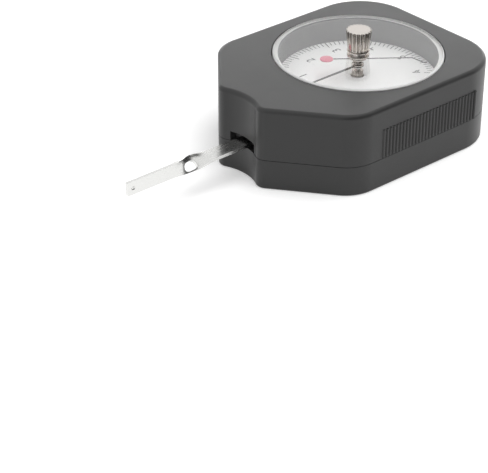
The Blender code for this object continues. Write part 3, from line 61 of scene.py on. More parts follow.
MM = 0.001
QUARTER_TURN = math.pi / 2
FULL_TURN = 2 * math.pi
HALF_WIDTH = 30.0 * MM
TAIL_REACH = 31.0 * MM
TAIL_RADIUS = 15.8 * MM
NOSE_REACH = 44.5 * MM
NOSE_HALF = 9.1 * MM
SHOULDER_REACH = 27.6 * MM
SHOULDER_RADIUS = 11.0 * MM
HORN_RADIUS = 3.2 * MM
SCOOP_DEPTH = 1.8 * MM
WALL = 2.0 * MM
REAR_FLOOR = 2.0 * MM
REAR_EDGE = 0.6 * MM
SEAM_LOW = 8.95 * MM
PARTING = 9.1 * MM
TONGUE_TOP = 10.4 * MM
TONGUE_INSET = 1.15 * MM
SCREW_PLACES = [(7.6 * MM, 36.65 * MM), (-7.6 * MM, 36.65 * MM),
                (19.3 * MM, -20.9 * MM), (-19.3 * MM, -20.9 * MM)]
REAR_BOSS_RADIUS = 3.3 * MM
COUNTERBORE_RADIUS = 2.25 * MM
COUNTERBORE_DEPTH = 1.95 * MM
SCREW_HOLE_RADIUS = 1.3 * MM
NOTCH_HALF = 5.1 * MM
NOTCH_START = 39.35 * MM
SEAM_GAP = 0.15 * MM
LABEL_SIZE = (39.2 * MM, 20.2 * MM)
LABEL_CORNER = 1.5 * MM
LABEL_PLACE = (-2.2 * MM, 5.7 * MM)
LABEL_TURN = math.radians(0.5)
LABEL_POCKET = 0.12 * MM
LABEL_GAP = 0.15 * MM
LABEL_SINK = 0.02 * MM
NOTCH_SPARE = 0.8 * MM
REAR_BOSS_LOW = 1.0 * MM
REAR_BOSS_TOP = 8.9 * MM
COUNTERBORE_FLARE = 0.2 * MM
SCREW_HOLE_TOP = 11.0 * MM
OVERRUN = 1.0 * MM
WELD = 0.001 * MM


def hex_color(code):
    """An sRGB hex value as the linear colour that Blender works in."""
    channels = [int(code[k:k + 2], 16) / 255 for k in (1, 3, 5)]
    return [c / 12.92 if c <= 0.04045 else ((c + 0.055) / 1.055) ** 2.4 for c in channels] + [1.0]


def new_material(name, color, values):
    """A material with plain values on its Principled shader."""
    material = bpy.data.materials.new(name)
    material.use_nodes = True
    shader = material.node_tree.nodes["Principled BSDF"]
    shader.inputs["Base Color"].default_value = hex_color(color)
    for socket, value in values.items():
        shader.inputs[socket].default_value = value
    material.diffuse_color = hex_color(color)
    return material


def add_node(material, kind, inputs, into=None, **settings):
    """Add a node. Its inputs are values or other nodes' sockets, and its first output goes into a socket."""
    node = material.node_tree.nodes.new("ShaderNode" + kind)
    for key, value in settings.items():
        setattr(node, key, value)
    for key, value in inputs.items():
        if isinstance(value, bpy.types.NodeSocket):
            material.node_tree.links.new(value, node.inputs[key])
        else:
            node.inputs[key].default_value = value
    if into:
        material.node_tree.links.new(node.outputs[0], into)
    return node


def shader_input(material, name):
    return material.node_tree.nodes["Principled BSDF"].inputs[name]


def grain_of(material, size, detail, **more):
    """Noise with grains of a real size that keeps to the object."""
    coords = add_node(material, "TexCoord", {})
    inputs = {"Vector": coords.outputs["Object"], "Scale": 1 / size, "Detail": detail}
    return add_node(material, "TexNoise", {**inputs, **more}).outputs["Fac"]


def vary_gloss(material, value, low, high, **more):
    """Let the roughness follow a value, between two levels."""
    add_node(material, "MapRange", {"Value": value, "To Min": low, "To Max": high, **more},
             shader_input(material, "Roughness"))


def lift(material, value, strength, distance):
    """Let the surface rise and fall with a value."""
    add_node(material, "Bump", {"Height": value, "Strength": strength, "Distance": distance},
             shader_input(material, "Normal"))


def blend_color(material, value, first, second):
    """Let the base colour follow a value, between two colours."""
    mix = add_node(material, "Mix", {0: value, 6: hex_color(first), 7: hex_color(second)}, None,
                   data_type="RGBA")
    material.node_tree.links.new(mix.outputs[2], shader_input(material, "Base Color"))


# ABS, injection moulded in a spark-eroded tool: near black, with a fine satin grain that spreads the
# light of the room, and a slightly uneven gloss from handling.
ABS_GRAIN = 0.28 * MM
ABS_HANDLING = 14.0 * MM
black_abs = new_material("abs_moulded_black", "#2c2c2c", {"Roughness": 0.36, "IOR": 1.46})
lift(black_abs, grain_of(black_abs, ABS_GRAIN, 3.0, Roughness=0.6), 0.35, 0.02 * MM)
handled = grain_of(black_abs, ABS_HANDLING, 4.0, Roughness=0.55)
vary_gloss(black_abs, handled, 0.32, 0.42, **{"From Min": 0.3, "From Max": 0.7})
blend_color(black_abs, handled, "#2a2a2a", "#2f2f2f")


def line_to(bm, vert, x, y):
    end = bm.verts.new((x, y, vert.co.z))
    bm.edges.new((vert, end))
    return end


def arc_to(bm, vert, centre, angle, steps):
    """Draw an arc from a vertex about a centre, and return the vertex that it ends in."""
    swept = bmesh.ops.spin(bm, geom=[vert], cent=(centre[0], centre[1], vert.co.z), axis=(0, 0, 1),
                           angle=angle, steps=steps, use_merge=False, use_duplicate=False)
    return next(item for item in swept["geom_last"] if isinstance(item, bmesh.types.BMVert))


def case_face(bm, height):
    """The case's outline as a face: its right half drawn in lines and arcs, then mirrored."""
    slope = math.atan2(NOSE_REACH - SHOULDER_REACH, HALF_WIDTH - NOSE_HALF)
    turn = QUARTER_TURN - slope
    shoulder = (HALF_WIDTH - SHOULDER_RADIUS, SHOULDER_REACH - SHOULDER_RADIUS * math.tan(turn / 2))
    horn = (NOSE_HALF - HORN_RADIUS * math.tan(slope / 2), NOSE_REACH - HORN_RADIUS)
    rise = HORN_RADIUS - SCOOP_DEPTH
    scoop_radius = (horn[0] ** 2 + rise ** 2 - HORN_RADIUS ** 2) / (2 * SCOOP_DEPTH)
    scoop = (0, NOSE_REACH - SCOOP_DEPTH + scoop_radius)
    meet = math.atan2(scoop[1] - horn[1], -horn[0])
    vert = bm.verts.new((0, -TAIL_REACH, height))
    vert = line_to(bm, vert, HALF_WIDTH - TAIL_RADIUS, -TAIL_REACH)
    vert = arc_to(bm, vert, (HALF_WIDTH - TAIL_RADIUS, TAIL_RADIUS - TAIL_REACH), QUARTER_TURN, 24)
    vert = line_to(bm, vert, HALF_WIDTH, shoulder[1])
    vert = arc_to(bm, vert, shoulder, turn, 14)
    vert = line_to(bm, vert, horn[0] + HORN_RADIUS * math.cos(turn), horn[1] + HORN_RADIUS * math.sin(turn))
    vert = arc_to(bm, vert, horn, meet - turn, 12)
    arc_to(bm, vert, scoop, QUARTER_TURN - meet, 10)
    bmesh.ops.mirror(bm, geom=bm.verts[:] + bm.edges[:], axis="X", merge_dist=WELD)
    bmesh.ops.remove_doubles(bm, verts=bm.verts, dist=WELD)
    return bmesh.ops.edgeloop_fill(bm, edges=bm.edges)["faces"][0]


def raise_face(bm, face, rise):
    """Extrude a flat face along Z and return its new end."""
    grown = bmesh.ops.extrude_face_region(bm, geom=[face])["geom"]
    end = next(item for item in grown if isinstance(item, bmesh.types.BMFace))
    bmesh.ops.translate(bm, verts=end.verts, vec=(0, 0, rise))
    return end


def draw_in(bm, face, width):
    """Draw a flat face in from its edges by an even width."""
    bmesh.ops.inset_region(bm, faces=[face], thickness=width, use_even_offset=True, use_boundary=True)


def round_rim(bm, height, radius, segments):
    """Round the edges that lie at one height."""
    rim = [edge for edge in bm.edges if all(abs(vert.co.z - height) < WELD for vert in edge.verts)]
    bmesh.ops.bevel(bm, geom=rim, offset=radius, offset_type="OFFSET", segments=segments, profile=0.5,
                    affect="EDGES", clamp_overlap=False, material=-1)


def turned(profile, steps, place=(0, 0)):
    """Spin a (radius, height) profile about Z. It closes on itself unless it starts and ends on the axis."""
    bm = bmesh.new()
    verts = [bm.verts.new((radius, 0, height)) for radius, height in profile]
    edges = [bm.edges.new(pair) for pair in zip(verts, verts[1:])]
    if profile[0][0] > 0:
        edges.append(bm.edges.new((verts[-1], verts[0])))
    bmesh.ops.spin(bm, geom=verts + edges, cent=(0, 0, 0), axis=(0, 0, 1), angle=FULL_TURN, steps=steps,
                   use_merge=True, use_duplicate=False)
    bmesh.ops.remove_doubles(bm, verts=bm.verts, dist=WELD)
    bmesh.ops.recalc_face_normals(bm, faces=bm.faces)
    bmesh.ops.translate(bm, verts=bm.verts, vec=(place[0], place[1], 0))
    return bm


def solid_rod(radius, low, high, place, steps=48):
    return turned([(0, low), (radius, low), (radius, high), (0, high)], steps, place)


def block(low, high):
    """A box between two corners, used as a cutter."""
    bm = bmesh.new()
    bmesh.ops.create_cube(bm, size=1)
    bmesh.ops.scale(bm, verts=bm.verts, vec=[b - a for a, b in zip(low, high)])
    bmesh.ops.translate(bm, verts=bm.verts, vec=[(a + b) / 2 for a, b in zip(low, high)])
    return bm


def make_piece(name, bm, materials, body, nodes):
    """Put a bmesh into the scene as a piece on a body, in place of the CAD nodes named."""
    mesh = bpy.data.meshes.new(name)
    bm.to_mesh(mesh)
    bm.free()
    for material in materials:
        mesh.materials.append(material)
    piece = bpy.data.objects.new(name, mesh)
    bpy.context.collection.objects.link(piece)
    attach(piece, body)
    if nodes:
        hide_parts(*nodes)
    return smooth(piece)


def smooth(piece, angle=32):
    """Shade smooth, with sharp edges kept and large flat faces flat."""
    piece.data.shade_smooth()
    piece.data.set_sharp_from_angle(angle=math.radians(angle))
    if "Flats" not in piece.modifiers:
        flats = piece.modifiers.new("Flats", "WEIGHTED_NORMAL")
        flats.keep_sharp = True
    return piece


def carve(piece, operation, cutters):
    """Cut shapes from a piece, or weld them to it."""
    piece.modifiers.clear()
    tools = []
    for bm in cutters:
        mesh = bpy.data.meshes.new("tool")
        bm.to_mesh(mesh)
        bm.free()
        tool = bpy.data.objects.new("tool", mesh)
        bpy.context.collection.objects.link(tool)
        step = piece.modifiers.new(operation.title(), "BOOLEAN")
        step.operation = operation
        step.solver = "EXACT"
        step.object = tool
        tools.append(tool)
    mesh = bpy.data.meshes.new_from_object(piece.evaluated_get(bpy.context.evaluated_depsgraph_get()))
    piece.modifiers.clear()
    piece.data = mesh
    for tool in tools:
        bpy.data.objects.remove(tool)
    return smooth(piece)


def label_outline(bm, margin, height):
    """The label's rounded rectangle, drawn larger by a margin."""
    half_x, half_y = LABEL_SIZE[0] / 2 + margin, LABEL_SIZE[1] / 2 + margin
    face = bmesh.ops.create_grid(bm, x_segments=1, y_segments=1, size=1)["verts"][0].link_faces[0]
    bmesh.ops.scale(bm, verts=bm.verts, vec=(half_x, half_y, 1))
    bmesh.ops.bevel(bm, geom=bm.verts[:], offset=LABEL_CORNER + margin, offset_type="OFFSET", segments=8,
                    profile=0.5, affect="VERTICES", clamp_overlap=False, material=-1)
    bmesh.ops.rotate(bm, verts=bm.verts, matrix=Matrix.Rotation(LABEL_TURN, 3, "Z"))
    bmesh.ops.translate(bm, verts=bm.verts, vec=(*LABEL_PLACE, height))
    return bm.faces[:][0]


bm = bmesh.new()
rim = raise_face(bm, case_face(bm, 0), SEAM_LOW)
round_rim(bm, 0, REAR_EDGE, 4)
draw_in(bm, rim, TONGUE_INSET)
rim = raise_face(bm, rim, TONGUE_TOP - SEAM_LOW)
draw_in(bm, rim, WALL - TONGUE_INSET)
raise_face(bm, rim, REAR_FLOOR - TONGUE_TOP)
bmesh.ops.recalc_face_normals(bm, faces=bm.faces)
rear_cover = make_piece("rear_cover_moulding", bm, [black_abs], "case", ["rear_cover"])
carve(rear_cover, "UNION", [solid_rod(REAR_BOSS_RADIUS, REAR_BOSS_LOW, REAR_BOSS_TOP, place, 40)
                            for place in SCREW_PLACES])
profile = [(0, -OVERRUN), (COUNTERBORE_RADIUS + COUNTERBORE_FLARE + OVERRUN, -OVERRUN),
           (COUNTERBORE_RADIUS + COUNTERBORE_FLARE, 0), (COUNTERBORE_RADIUS, COUNTERBORE_FLARE),
           (COUNTERBORE_RADIUS, COUNTERBORE_DEPTH), (SCREW_HOLE_RADIUS, COUNTERBORE_DEPTH),
           (SCREW_HOLE_RADIUS, SCREW_HOLE_TOP), (0, SCREW_HOLE_TOP)]
holes = [turned(profile, 48, place) for place in SCREW_PLACES]
holes.append(block((-NOTCH_HALF - SEAM_GAP, NOTCH_START + NOTCH_SPARE, SEAM_LOW),
                   (NOTCH_HALF + SEAM_GAP, NOSE_REACH + OVERRUN, TONGUE_TOP + OVERRUN)))
pocket = bmesh.new()
raise_face(pocket, label_outline(pocket, LABEL_GAP, LABEL_POCKET), -OVERRUN)
bmesh.ops.recalc_face_normals(pocket, faces=pocket.faces)
holes.append(pocket)
carve(rear_cover, "DIFFERENCE", holes)


# Label on the back: a plain die-cut rectangle of silver-grey polyester film with a satin face, stuck into
# its shallow place.

LABEL_GRAIN = 0.35 * MM
label_film = new_material("polyester_film_satin", "#e2e2e0", {"Roughness": 0.38, "Metallic": 0.1})
grain = grain_of(label_film, LABEL_GRAIN, 2.0)
vary_gloss(label_film, grain, 0.32, 0.46)
lift(label_film, grain, 0.2, 0.01 * MM)

bm = bmesh.new()
raise_face(bm, label_outline(bm, 0, LABEL_SINK), LABEL_POCKET - 2 * LABEL_SINK)
bmesh.ops.recalc_face_normals(bm, faces=bm.faces)
make_piece("rear_label_blank", bm, [label_film], "case", [])


# Movement: two brass plates on three pillars, held up against the case by four screws. The plates are
# blanked, drilled and left plain, the bushes and pillars turned, the screws zinc plated.

PLATE_BRUSH = 0.25 * MM


def drawn_grain(material, size, lengthwise, detail):
    """Noise drawn out along Y, as rolling and brushing leave it."""
    coords = add_node(material, "TexCoord", {})
    drawn = add_node(material, "Mapping", {"Vector": coords.outputs["Object"],
                                           "Scale": (1 / size, lengthwise / size, 1 / size)})
    return add_node(material, "TexNoise", {"Vector": drawn.outputs["Vector"], "Scale": 1.0,
                                           "Detail": detail}).outputs["Fac"]


brass = new_material("brass_rolled", "#c9a766", {"Roughness": 0.34, "Metallic": 1.0})
brushed = drawn_grain(brass, PLATE_BRUSH, 0.06, 3.0)
vary_gloss(brass, brushed, 0.25, 0.46)
lift(brass, brushed, 0.3, 0.01 * MM)

# Steel screws with bright zinc: a cool grey metal with the slightly cloudy surface of the plating.
ZINC_CLOUD = 0.6 * MM
zinc_steel = new_material("steel_zinc_plated", "#c8c9cb", {"Roughness": 0.3, "Metallic": 1.0})
cloud = grain_of(zinc_steel, ZINC_CLOUD, 4.0)
vary_gloss(zinc_steel, cloud, 0.22, 0.42, **{"From Min": 0.3, "From Max": 0.7})
lift(zinc_steel, cloud, 0.25, 0.01 * MM)

# Bright drawn steel: arbors, pins and the lever, with fine marks along the grain.
STEEL_GRAIN = 0.16 * MM
bright_steel = new_material("steel_bright_rolled", "#dededc", {"Roughness": 0.2, "Metallic": 1.0})
drawn = drawn_grain(bright_steel, STEEL_GRAIN, 0.05, 3.0)
vary_gloss(bright_steel, drawn, 0.16, 0.3, **{"From Min": 0.3, "From Max": 0.7})
lift(bright_steel, drawn, 0.05, 0.006 * MM)

# Spring steel, hardened and blued to a dark grey.
SPRING_DRAW = 0.1 * MM
spring_steel = new_material("steel_spring_blued", "#5c6470", {"Roughness": 0.3, "Metallic": 1.0})
drawn = grain_of(spring_steel, SPRING_DRAW, 2.0)
vary_gloss(spring_steel, drawn, 0.22, 0.4)
blend_color(spring_steel, drawn, "#565d6b", "#666b73")

# Bright nickel over turned brass: a warm white metal, mirror smooth with faint turning rings.
NICKEL_RING = 0.09 * MM
nickel = new_material("nickel_plate_bright", "#d8d2cc", {"Roughness": 0.1, "Metallic": 1.0})
coords = add_node(nickel, "TexCoord", {})
rings = add_node(nickel, "TexWave", {"Vector": coords.outputs["Object"], "Scale": 1 / (NICKEL_RING * 20),
                                     "Distortion": 0.6, "Detail": 1.0, "Detail Scale": 2.0}, None,
                 wave_type="RINGS", rings_direction="Z")
lift(nickel, rings.outputs["Fac"], 0.06, 0.004 * MM)
vary_gloss(nickel, rings.outputs["Fac"], 0.06, 0.14)


def refinish(material, *names):
    """Give carried-over CAD nodes their real finish."""
    for name in names:
        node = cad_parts[name]
        node.data.materials.clear()
        node.data.materials.append(material)


refinish(brass, "main_plate", "bridge_plate", "pillar_right", "pillar_left", "pillar_tail",
         "lever_bush_lower", "lever_bush_upper", "lever_hub", "gear_sector", "hairspring_collet")
refinish(zinc_steel, "bridge_screw_right", "bridge_screw_left", "bridge_screw_tail",
         "movement_screw_upper_right", "movement_screw_upper_left", "movement_screw_lower_right",
         "movement_screw_lower_left", "lever_rivet_right", "lever_rivet_left")
refinish(bright_steel, "spring_post", "stop_pin_right", "stop_pin_left", "hairspring_stud", "lever_arbor",
         "sector_pin", "pinion_arbor", "knob_spindle")
refinish(spring_steel, "centring_spring", "hairspring")
refinish(nickel, "pinion_bush_lower")


# Lever: a strip of bright spring steel, blanked with its window and tip hole, then given a quarter twist
# so that its end works on edge. It is riveted to the hub inside the case.

PIVOT_REACH = 30.0 * MM
LEVER_LOW = 9.85 * MM
LEVER_THICKNESS = 0.95 * MM
LEVER_HALF = 2.5 * MM
LEVER_HEAD_RADIUS = 4.2 * MM
LEVER_TIP = 83.6 * MM
TWIST_START = 54.5 * MM
TWIST_END = 69.0 * MM
BLADE_HALF = 2.0 * MM
WINDOW_LOW = 60.6 * MM
WINDOW_HIGH = 64.4 * MM
WINDOW_HALF = 1.5 * MM
WINDOW_SHIFT = -0.6 * MM
TIP_HOLE_RADIUS = 0.5 * MM
TIP_HOLE_INSET = 1.9 * MM
LEVER_STEP = 0.25 * MM
LEVER_TOP = LEVER_LOW + LEVER_THICKNESS
LEVER_CORNER = 0.35 * MM
LEVER_BREAK = 0.14 * MM
LEVER_CUTS = (-1.9, -1.2, -0.6, 0.0, 0.6, 1.2, 1.9)
TWIST_LEAD = 0.1 * MM
WINDOW_CORNER = 1.2 * MM
ARBOR_HOLE_RADIUS = 1.95 * MM
RIVET_HOLE_RADIUS = 0.65 * MM
RIVET_SPACING = 3.1 * MM
HOLE_LOW = 8.0 * MM
HOLE_TOP = 12.0 * MM
SINK_LOW = LEVER_TOP - 0.2 * MM
SINK_TOP = LEVER_TOP + 0.1 * MM
SINK_RADII = (TIP_HOLE_RADIUS - 0.05 * MM, TIP_HOLE_RADIUS + 0.35 * MM)


def rounded_bar(half, low, high, radius):
    """A flat rectangle in the plane of the lever with rounded corners, thick enough to cut with."""
    bm = bmesh.new()
    bmesh.ops.create_grid(bm, x_segments=1, y_segments=1, size=1)
    bmesh.ops.scale(bm, verts=bm.verts, vec=(half, (high - low) / 2, 1))
    bmesh.ops.bevel(bm, geom=bm.verts[:], offset=radius, offset_type="OFFSET", segments=6, profile=0.5,
                    affect="VERTICES", clamp_overlap=False, material=-1)
    bmesh.ops.translate(bm, verts=bm.verts, vec=(0, (low + high) / 2, LEVER_LOW - OVERRUN))
    raise_face(bm, bm.faces[:][0], LEVER_THICKNESS + 2 * OVERRUN)
    bmesh.ops.recalc_face_normals(bm, faces=bm.faces)
    return bm


bm = rounded_bar(LEVER_HALF, PIVOT_REACH, LEVER_TIP, LEVER_CORNER)
low = min(vert.co.z for vert in bm.verts)
for vert in bm.verts:
    vert.co.z = LEVER_LOW if vert.co.z == low else LEVER_TOP
lever = make_piece("lever_strip", bm, [bright_steel], "lever_arm", ["lever"])
carve(lever, "UNION", [solid_rod(LEVER_HEAD_RADIUS, LEVER_LOW, LEVER_TOP, (0, PIVOT_REACH), 64)])
tip_hole = (0, LEVER_TIP - TIP_HOLE_INSET)
holes = [solid_rod(radius, HOLE_LOW, HOLE_TOP, place, 40) for radius, place in (
    (ARBOR_HOLE_RADIUS, (0, PIVOT_REACH)), (RIVET_HOLE_RADIUS, (RIVET_SPACING, PIVOT_REACH)),
    (RIVET_HOLE_RADIUS, (-RIVET_SPACING, PIVOT_REACH)), (TIP_HOLE_RADIUS, tip_hole))]
window = rounded_bar(WINDOW_HALF, WINDOW_LOW, WINDOW_HIGH, WINDOW_CORNER)
bmesh.ops.translate(window, verts=window.verts, vec=(WINDOW_SHIFT, 0, 0))
holes.append(window)
countersink = [(0, SINK_LOW), (SINK_RADII[0], SINK_LOW), (SINK_RADII[1], SINK_TOP), (0, SINK_TOP)]
holes.append(turned(countersink, 40, tip_hole))
carve(lever, "DIFFERENCE", holes)

# the flat blank is cut across in short steps, so that it can follow the twist, and its edges are broken
bm = bmesh.new()
bm.from_mesh(lever.data)
sharp = [edge for edge in bm.edges if edge.is_manifold and edge.calc_face_angle() > math.radians(60)]
bmesh.ops.bevel(bm, geom=sharp, offset=LEVER_BREAK, offset_type="OFFSET", segments=2, profile=0.5,
                affect="EDGES", clamp_overlap=True, material=-1)
reach = TWIST_START
while reach <= TWIST_END:
    bmesh.ops.bisect_plane(bm, geom=bm.verts[:] + bm.edges[:] + bm.faces[:], dist=WELD / 10,
                           plane_co=(0, reach, 0), plane_no=(0, 1, 0))
    reach += LEVER_STEP
for across in LEVER_CUTS:
    inner = [face for face in bm.faces if face.calc_center_median().y > TWIST_START - TWIST_LEAD]
    edges = {edge for face in inner for edge in face.edges}
    verts = {vert for face in inner for vert in face.verts}
    bmesh.ops.bisect_plane(bm, geom=list(verts) + list(edges) + inner, dist=WELD / 10,
                           plane_co=(across * MM, 0, 0), plane_no=(1, 0, 0))
middle = (LEVER_LOW + LEVER_TOP) / 2
for vert in bm.verts:
    share = min(1.0, max(0.0, (vert.co.y - TWIST_START) / (TWIST_END - TWIST_START)))
    share = share * share * (3 - 2 * share)
    width = 1 + (BLADE_HALF / LEVER_HALF - 1) * share
    turn = Matrix.Rotation(-QUARTER_TURN * share, 3, "Y")
    offset = turn @ Vector((vert.co.x * width, 0, vert.co.z - middle))
    vert.co = (offset.x, vert.co.y, middle + offset.z)
bmesh.ops.recalc_face_normals(bm, faces=bm.faces)
bm.to_mesh(lever.data)
bm.free()
smooth(lever, 40)


# Front of the case: black ABS moulded like the back, with a round window on a ledge, grip ribs along
# both sides, a notch for the lever and blind bosses for the screws.

CASE_DEPTH = 24.7 * MM
FRONT_WALL = 2.4 * MM
FRONT_EDGE = 1.25 * MM
WINDOW_RADIUS = 24.93 * MM
WELL_RADIUS = 26.4 * MM
LEDGE_BORE = 21.0 * MM
LEDGE_LOW = 14.55 * MM
LEDGE_TOP = 15.55 * MM
NOTCH_TOP = 11.9 * MM
FRONT_BOSS_RADIUS = 2.5 * MM
MOVEMENT_BOSS_RADIUS = 2.6 * MM
MOVEMENT_BOSS_REACH = 28.2 * MM
MOVEMENT_BOSS_ANGLES = (41.5, 138.5, -64.5, -115.5)
RIB_COUNT = 29
RIB_PITCH = 1.28 * MM
RIB_FIRST = -17.67 * MM
RIB_LOW = 9.25 * MM
RIB_TOP = 17.95 * MM
RIB_BASE_HALF = 0.58 * MM
RIB_CREST_HALF = 0.22 * MM
RIB_HEIGHT = 0.35 * MM
RIB_ROOT = 0.3 * MM
RIB_CREST_ROUND = 0.1 * MM
FRONT_LIP = 1.0 * MM
ROOF_WELD = 0.5 * MM
WINDOW_BREAK = 0.12 * MM
SCREW_BORE = (1.06 * MM, 18.45 * MM)
MOVEMENT_BORE = (1.01 * MM, 20.45 * MM)


bm = bmesh.new()
rim = raise_face(bm, case_face(bm, CASE_DEPTH), PARTING - CASE_DEPTH)
round_rim(bm, CASE_DEPTH, FRONT_EDGE, 6)
draw_in(bm, rim, FRONT_LIP)
rim = raise_face(bm, rim, TONGUE_TOP + SEAM_GAP - PARTING)
draw_in(bm, rim, WALL - FRONT_LIP)
raise_face(bm, rim, CASE_DEPTH - FRONT_WALL - TONGUE_TOP - SEAM_GAP)
bmesh.ops.recalc_face_normals(bm, faces=bm.faces)
front_case = make_piece("front_case_moulding", bm, [black_abs], "case", ["front_case"])
roof = CASE_DEPTH - FRONT_WALL + ROOF_WELD
cores = [solid_rod(WELL_RADIUS, LEDGE_LOW, roof, (0, 0), 128)]
cores += [solid_rod(FRONT_BOSS_RADIUS, PARTING, roof, place) for place in SCREW_PLACES]
boss_places = [(MOVEMENT_BOSS_REACH * math.cos(math.radians(angle)),
                MOVEMENT_BOSS_REACH * math.sin(math.radians(angle))) for angle in MOVEMENT_BOSS_ANGLES]
cores += [solid_rod(MOVEMENT_BOSS_RADIUS, LEDGE_LOW, roof, place) for place in boss_places]
carve(front_case, "UNION", cores)
window = [(0, LEDGE_LOW - OVERRUN), (LEDGE_BORE, LEDGE_LOW - OVERRUN), (LEDGE_BORE, LEDGE_TOP),
          (WINDOW_RADIUS, LEDGE_TOP), (WINDOW_RADIUS, CASE_DEPTH - WINDOW_BREAK),
          (WINDOW_RADIUS + WINDOW_BREAK, CASE_DEPTH), (WINDOW_RADIUS + WINDOW_BREAK, CASE_DEPTH + OVERRUN),
          (0, CASE_DEPTH + OVERRUN)]
holes = [turned(window, 160)]
holes += [solid_rod(SCREW_BORE[0], PARTING - OVERRUN, SCREW_BORE[1], place, 24) for place in SCREW_PLACES]
holes += [solid_rod(MOVEMENT_BORE[0], LEDGE_LOW - OVERRUN, MOVEMENT_BORE[1], place, 24)
          for place in boss_places]
holes.append(block((-NOTCH_HALF, NOTCH_START, PARTING - OVERRUN),
                   (NOTCH_HALF, NOSE_REACH + OVERRUN, NOTCH_TOP)))
carve(front_case, "DIFFERENCE", holes)

# one rib is drawn, its crest narrowed and rounded, and repeated along the side, then mirrored
ribs = block((HALF_WIDTH - RIB_ROOT, RIB_FIRST - RIB_BASE_HALF, RIB_LOW),
             (HALF_WIDTH + RIB_HEIGHT, RIB_FIRST + RIB_BASE_HALF, RIB_TOP))
crest = [vert for vert in ribs.verts if vert.co.x > HALF_WIDTH]
for vert in crest:
    vert.co.y = RIB_FIRST + math.copysign(RIB_CREST_HALF, vert.co.y - RIB_FIRST)
edges = [edge for edge in ribs.edges if all(vert in crest for vert in edge.verts)]
bmesh.ops.bevel(ribs, geom=edges, offset=RIB_CREST_ROUND, offset_type="OFFSET", segments=2, profile=0.5,
                affect="EDGES", clamp_overlap=True, material=-1)
bmesh.ops.spin(ribs, geom=ribs.verts[:] + ribs.edges[:] + ribs.faces[:], cent=(0, 0, 0), axis=(0, 0, 1),
               dvec=(0, RIB_PITCH, 0), angle=0, steps=RIB_COUNT - 1, use_merge=False, use_duplicate=True)
bmesh.ops.mirror(ribs, geom=ribs.verts[:] + ribs.edges[:] + ribs.faces[:], axis="X", merge_dist=0)
bmesh.ops.recalc_face_normals(ribs, faces=ribs.faces)
carve(front_case, "UNION", [ribs])


# Dial: a steel disc with baked white enamel, its scale printed in black. The scale counts five each way
# from zero at the nose.

DIAL_TOP = 16.1 * MM
DIAL_RADIUS = 24.6 * MM
ENAMEL_PEEL = 1.6 * MM
PRINT_RISE = 0.012 * MM
TICK_REACH = 22.7 * MM
DIGIT_REACH = 16.6 * MM
DIGIT_DROP = 1.3 * MM
DIGIT_SIZE = 4.0 * MM
DIAL_LOW = DIAL_TOP - 0.5 * MM
DIAL_HOLE_RADIUS = 2.0 * MM
DIAL_BREAK = 0.05 * MM
DIVISION = 36
# length, half width, number and first angle of the short, middle and long ticks
TICKS = ((2.0 * MM, 0.11 * MM, 100, 0), (2.4 * MM, 0.12 * MM, 20, 18), (3.2 * MM, 0.14 * MM, 10, 0))

# White stoving enamel: an even, bright coat with a soft gloss and the faint waviness of sprayed paint.
white_enamel = new_material("enamel_stoved_white", "#fcfcfb", {"Roughness": 0.13, "IOR": 1.5})
peel = grain_of(white_enamel, ENAMEL_PEEL, 2.0)
lift(white_enamel, peel, 0.1, 0.02 * MM)
vary_gloss(white_enamel, peel, 0.1, 0.16)

profile = [(DIAL_HOLE_RADIUS, DIAL_LOW), (DIAL_RADIUS - DIAL_BREAK, DIAL_LOW),
           (DIAL_RADIUS, DIAL_LOW + DIAL_BREAK), (DIAL_RADIUS, DIAL_TOP - DIAL_BREAK),
           (DIAL_RADIUS - DIAL_BREAK, DIAL_TOP), (DIAL_HOLE_RADIUS, DIAL_TOP)]
make_piece("dial_disc", turned(profile, 128), [white_enamel], "case", ["dial_plate"])

# Screen-printing ink: matt near-black, laid on a little unevenly.
INK_MOTTLE = 0.4 * MM
print_ink = new_material("ink_screen_printed", "#2b2b2d", {"Roughness": 0.55})
blend_color(print_ink, grain_of(print_ink, INK_MOTTLE, 3.0), "#242426", "#3a3a3c")


def tick_marks(bm, length, half_width, count, first):
    """Ticks that run in from the scale's outer circle, evenly spaced from an angle in degrees."""
    tick = bmesh.new()
    bmesh.ops.create_cube(tick, size=1)
    bmesh.ops.scale(tick, verts=tick.verts, vec=(2 * half_width, length, 2 * PRINT_RISE))
    bmesh.ops.translate(tick, verts=tick.verts, vec=(0, TICK_REACH - length / 2, DIAL_TOP))
    bmesh.ops.rotate(tick, verts=tick.verts, matrix=Matrix.Rotation(math.radians(first), 3, "Z"))
    bmesh.ops.spin(tick, geom=tick.verts[:] + tick.edges[:] + tick.faces[:], cent=(0, 0, 0), axis=(0, 0, 1),
                   angle=FULL_TURN * (count - 1) / count, steps=count - 1, use_merge=False,
                   use_duplicate=True)
    mesh = bpy.data.meshes.new("ticks")
    tick.to_mesh(mesh)
    tick.free()
    bm.from_mesh(mesh)
    bpy.data.meshes.remove(mesh)


def digit(bm, text, angle):
    """A printed figure on the scale's inner circle, at an angle in degrees from the nose."""
    curve = bpy.data.curves.new("digit", "FONT")
    curve.body = text
    curve.size = DIGIT_SIZE
    curve.align_x = "CENTER"
    curve.align_y = "CENTER"
    curve.extrude = PRINT_RISE
    curve.resolution_u = 4
    holder = bpy.data.objects.new("digit", curve)
    bpy.context.collection.objects.link(holder)
    mesh = bpy.data.meshes.new_from_object(holder.evaluated_get(bpy.context.evaluated_depsgraph_get()))
    turn = math.radians(angle)
    mesh.transform(Matrix.Translation((DIGIT_REACH * math.sin(turn),
                                       DIGIT_REACH * math.cos(turn) - DIGIT_DROP, DIAL_TOP)))
    bm.from_mesh(mesh)
    bpy.data.objects.remove(holder)
    bpy.data.curves.remove(curve)
    bpy.data.meshes.remove(mesh)


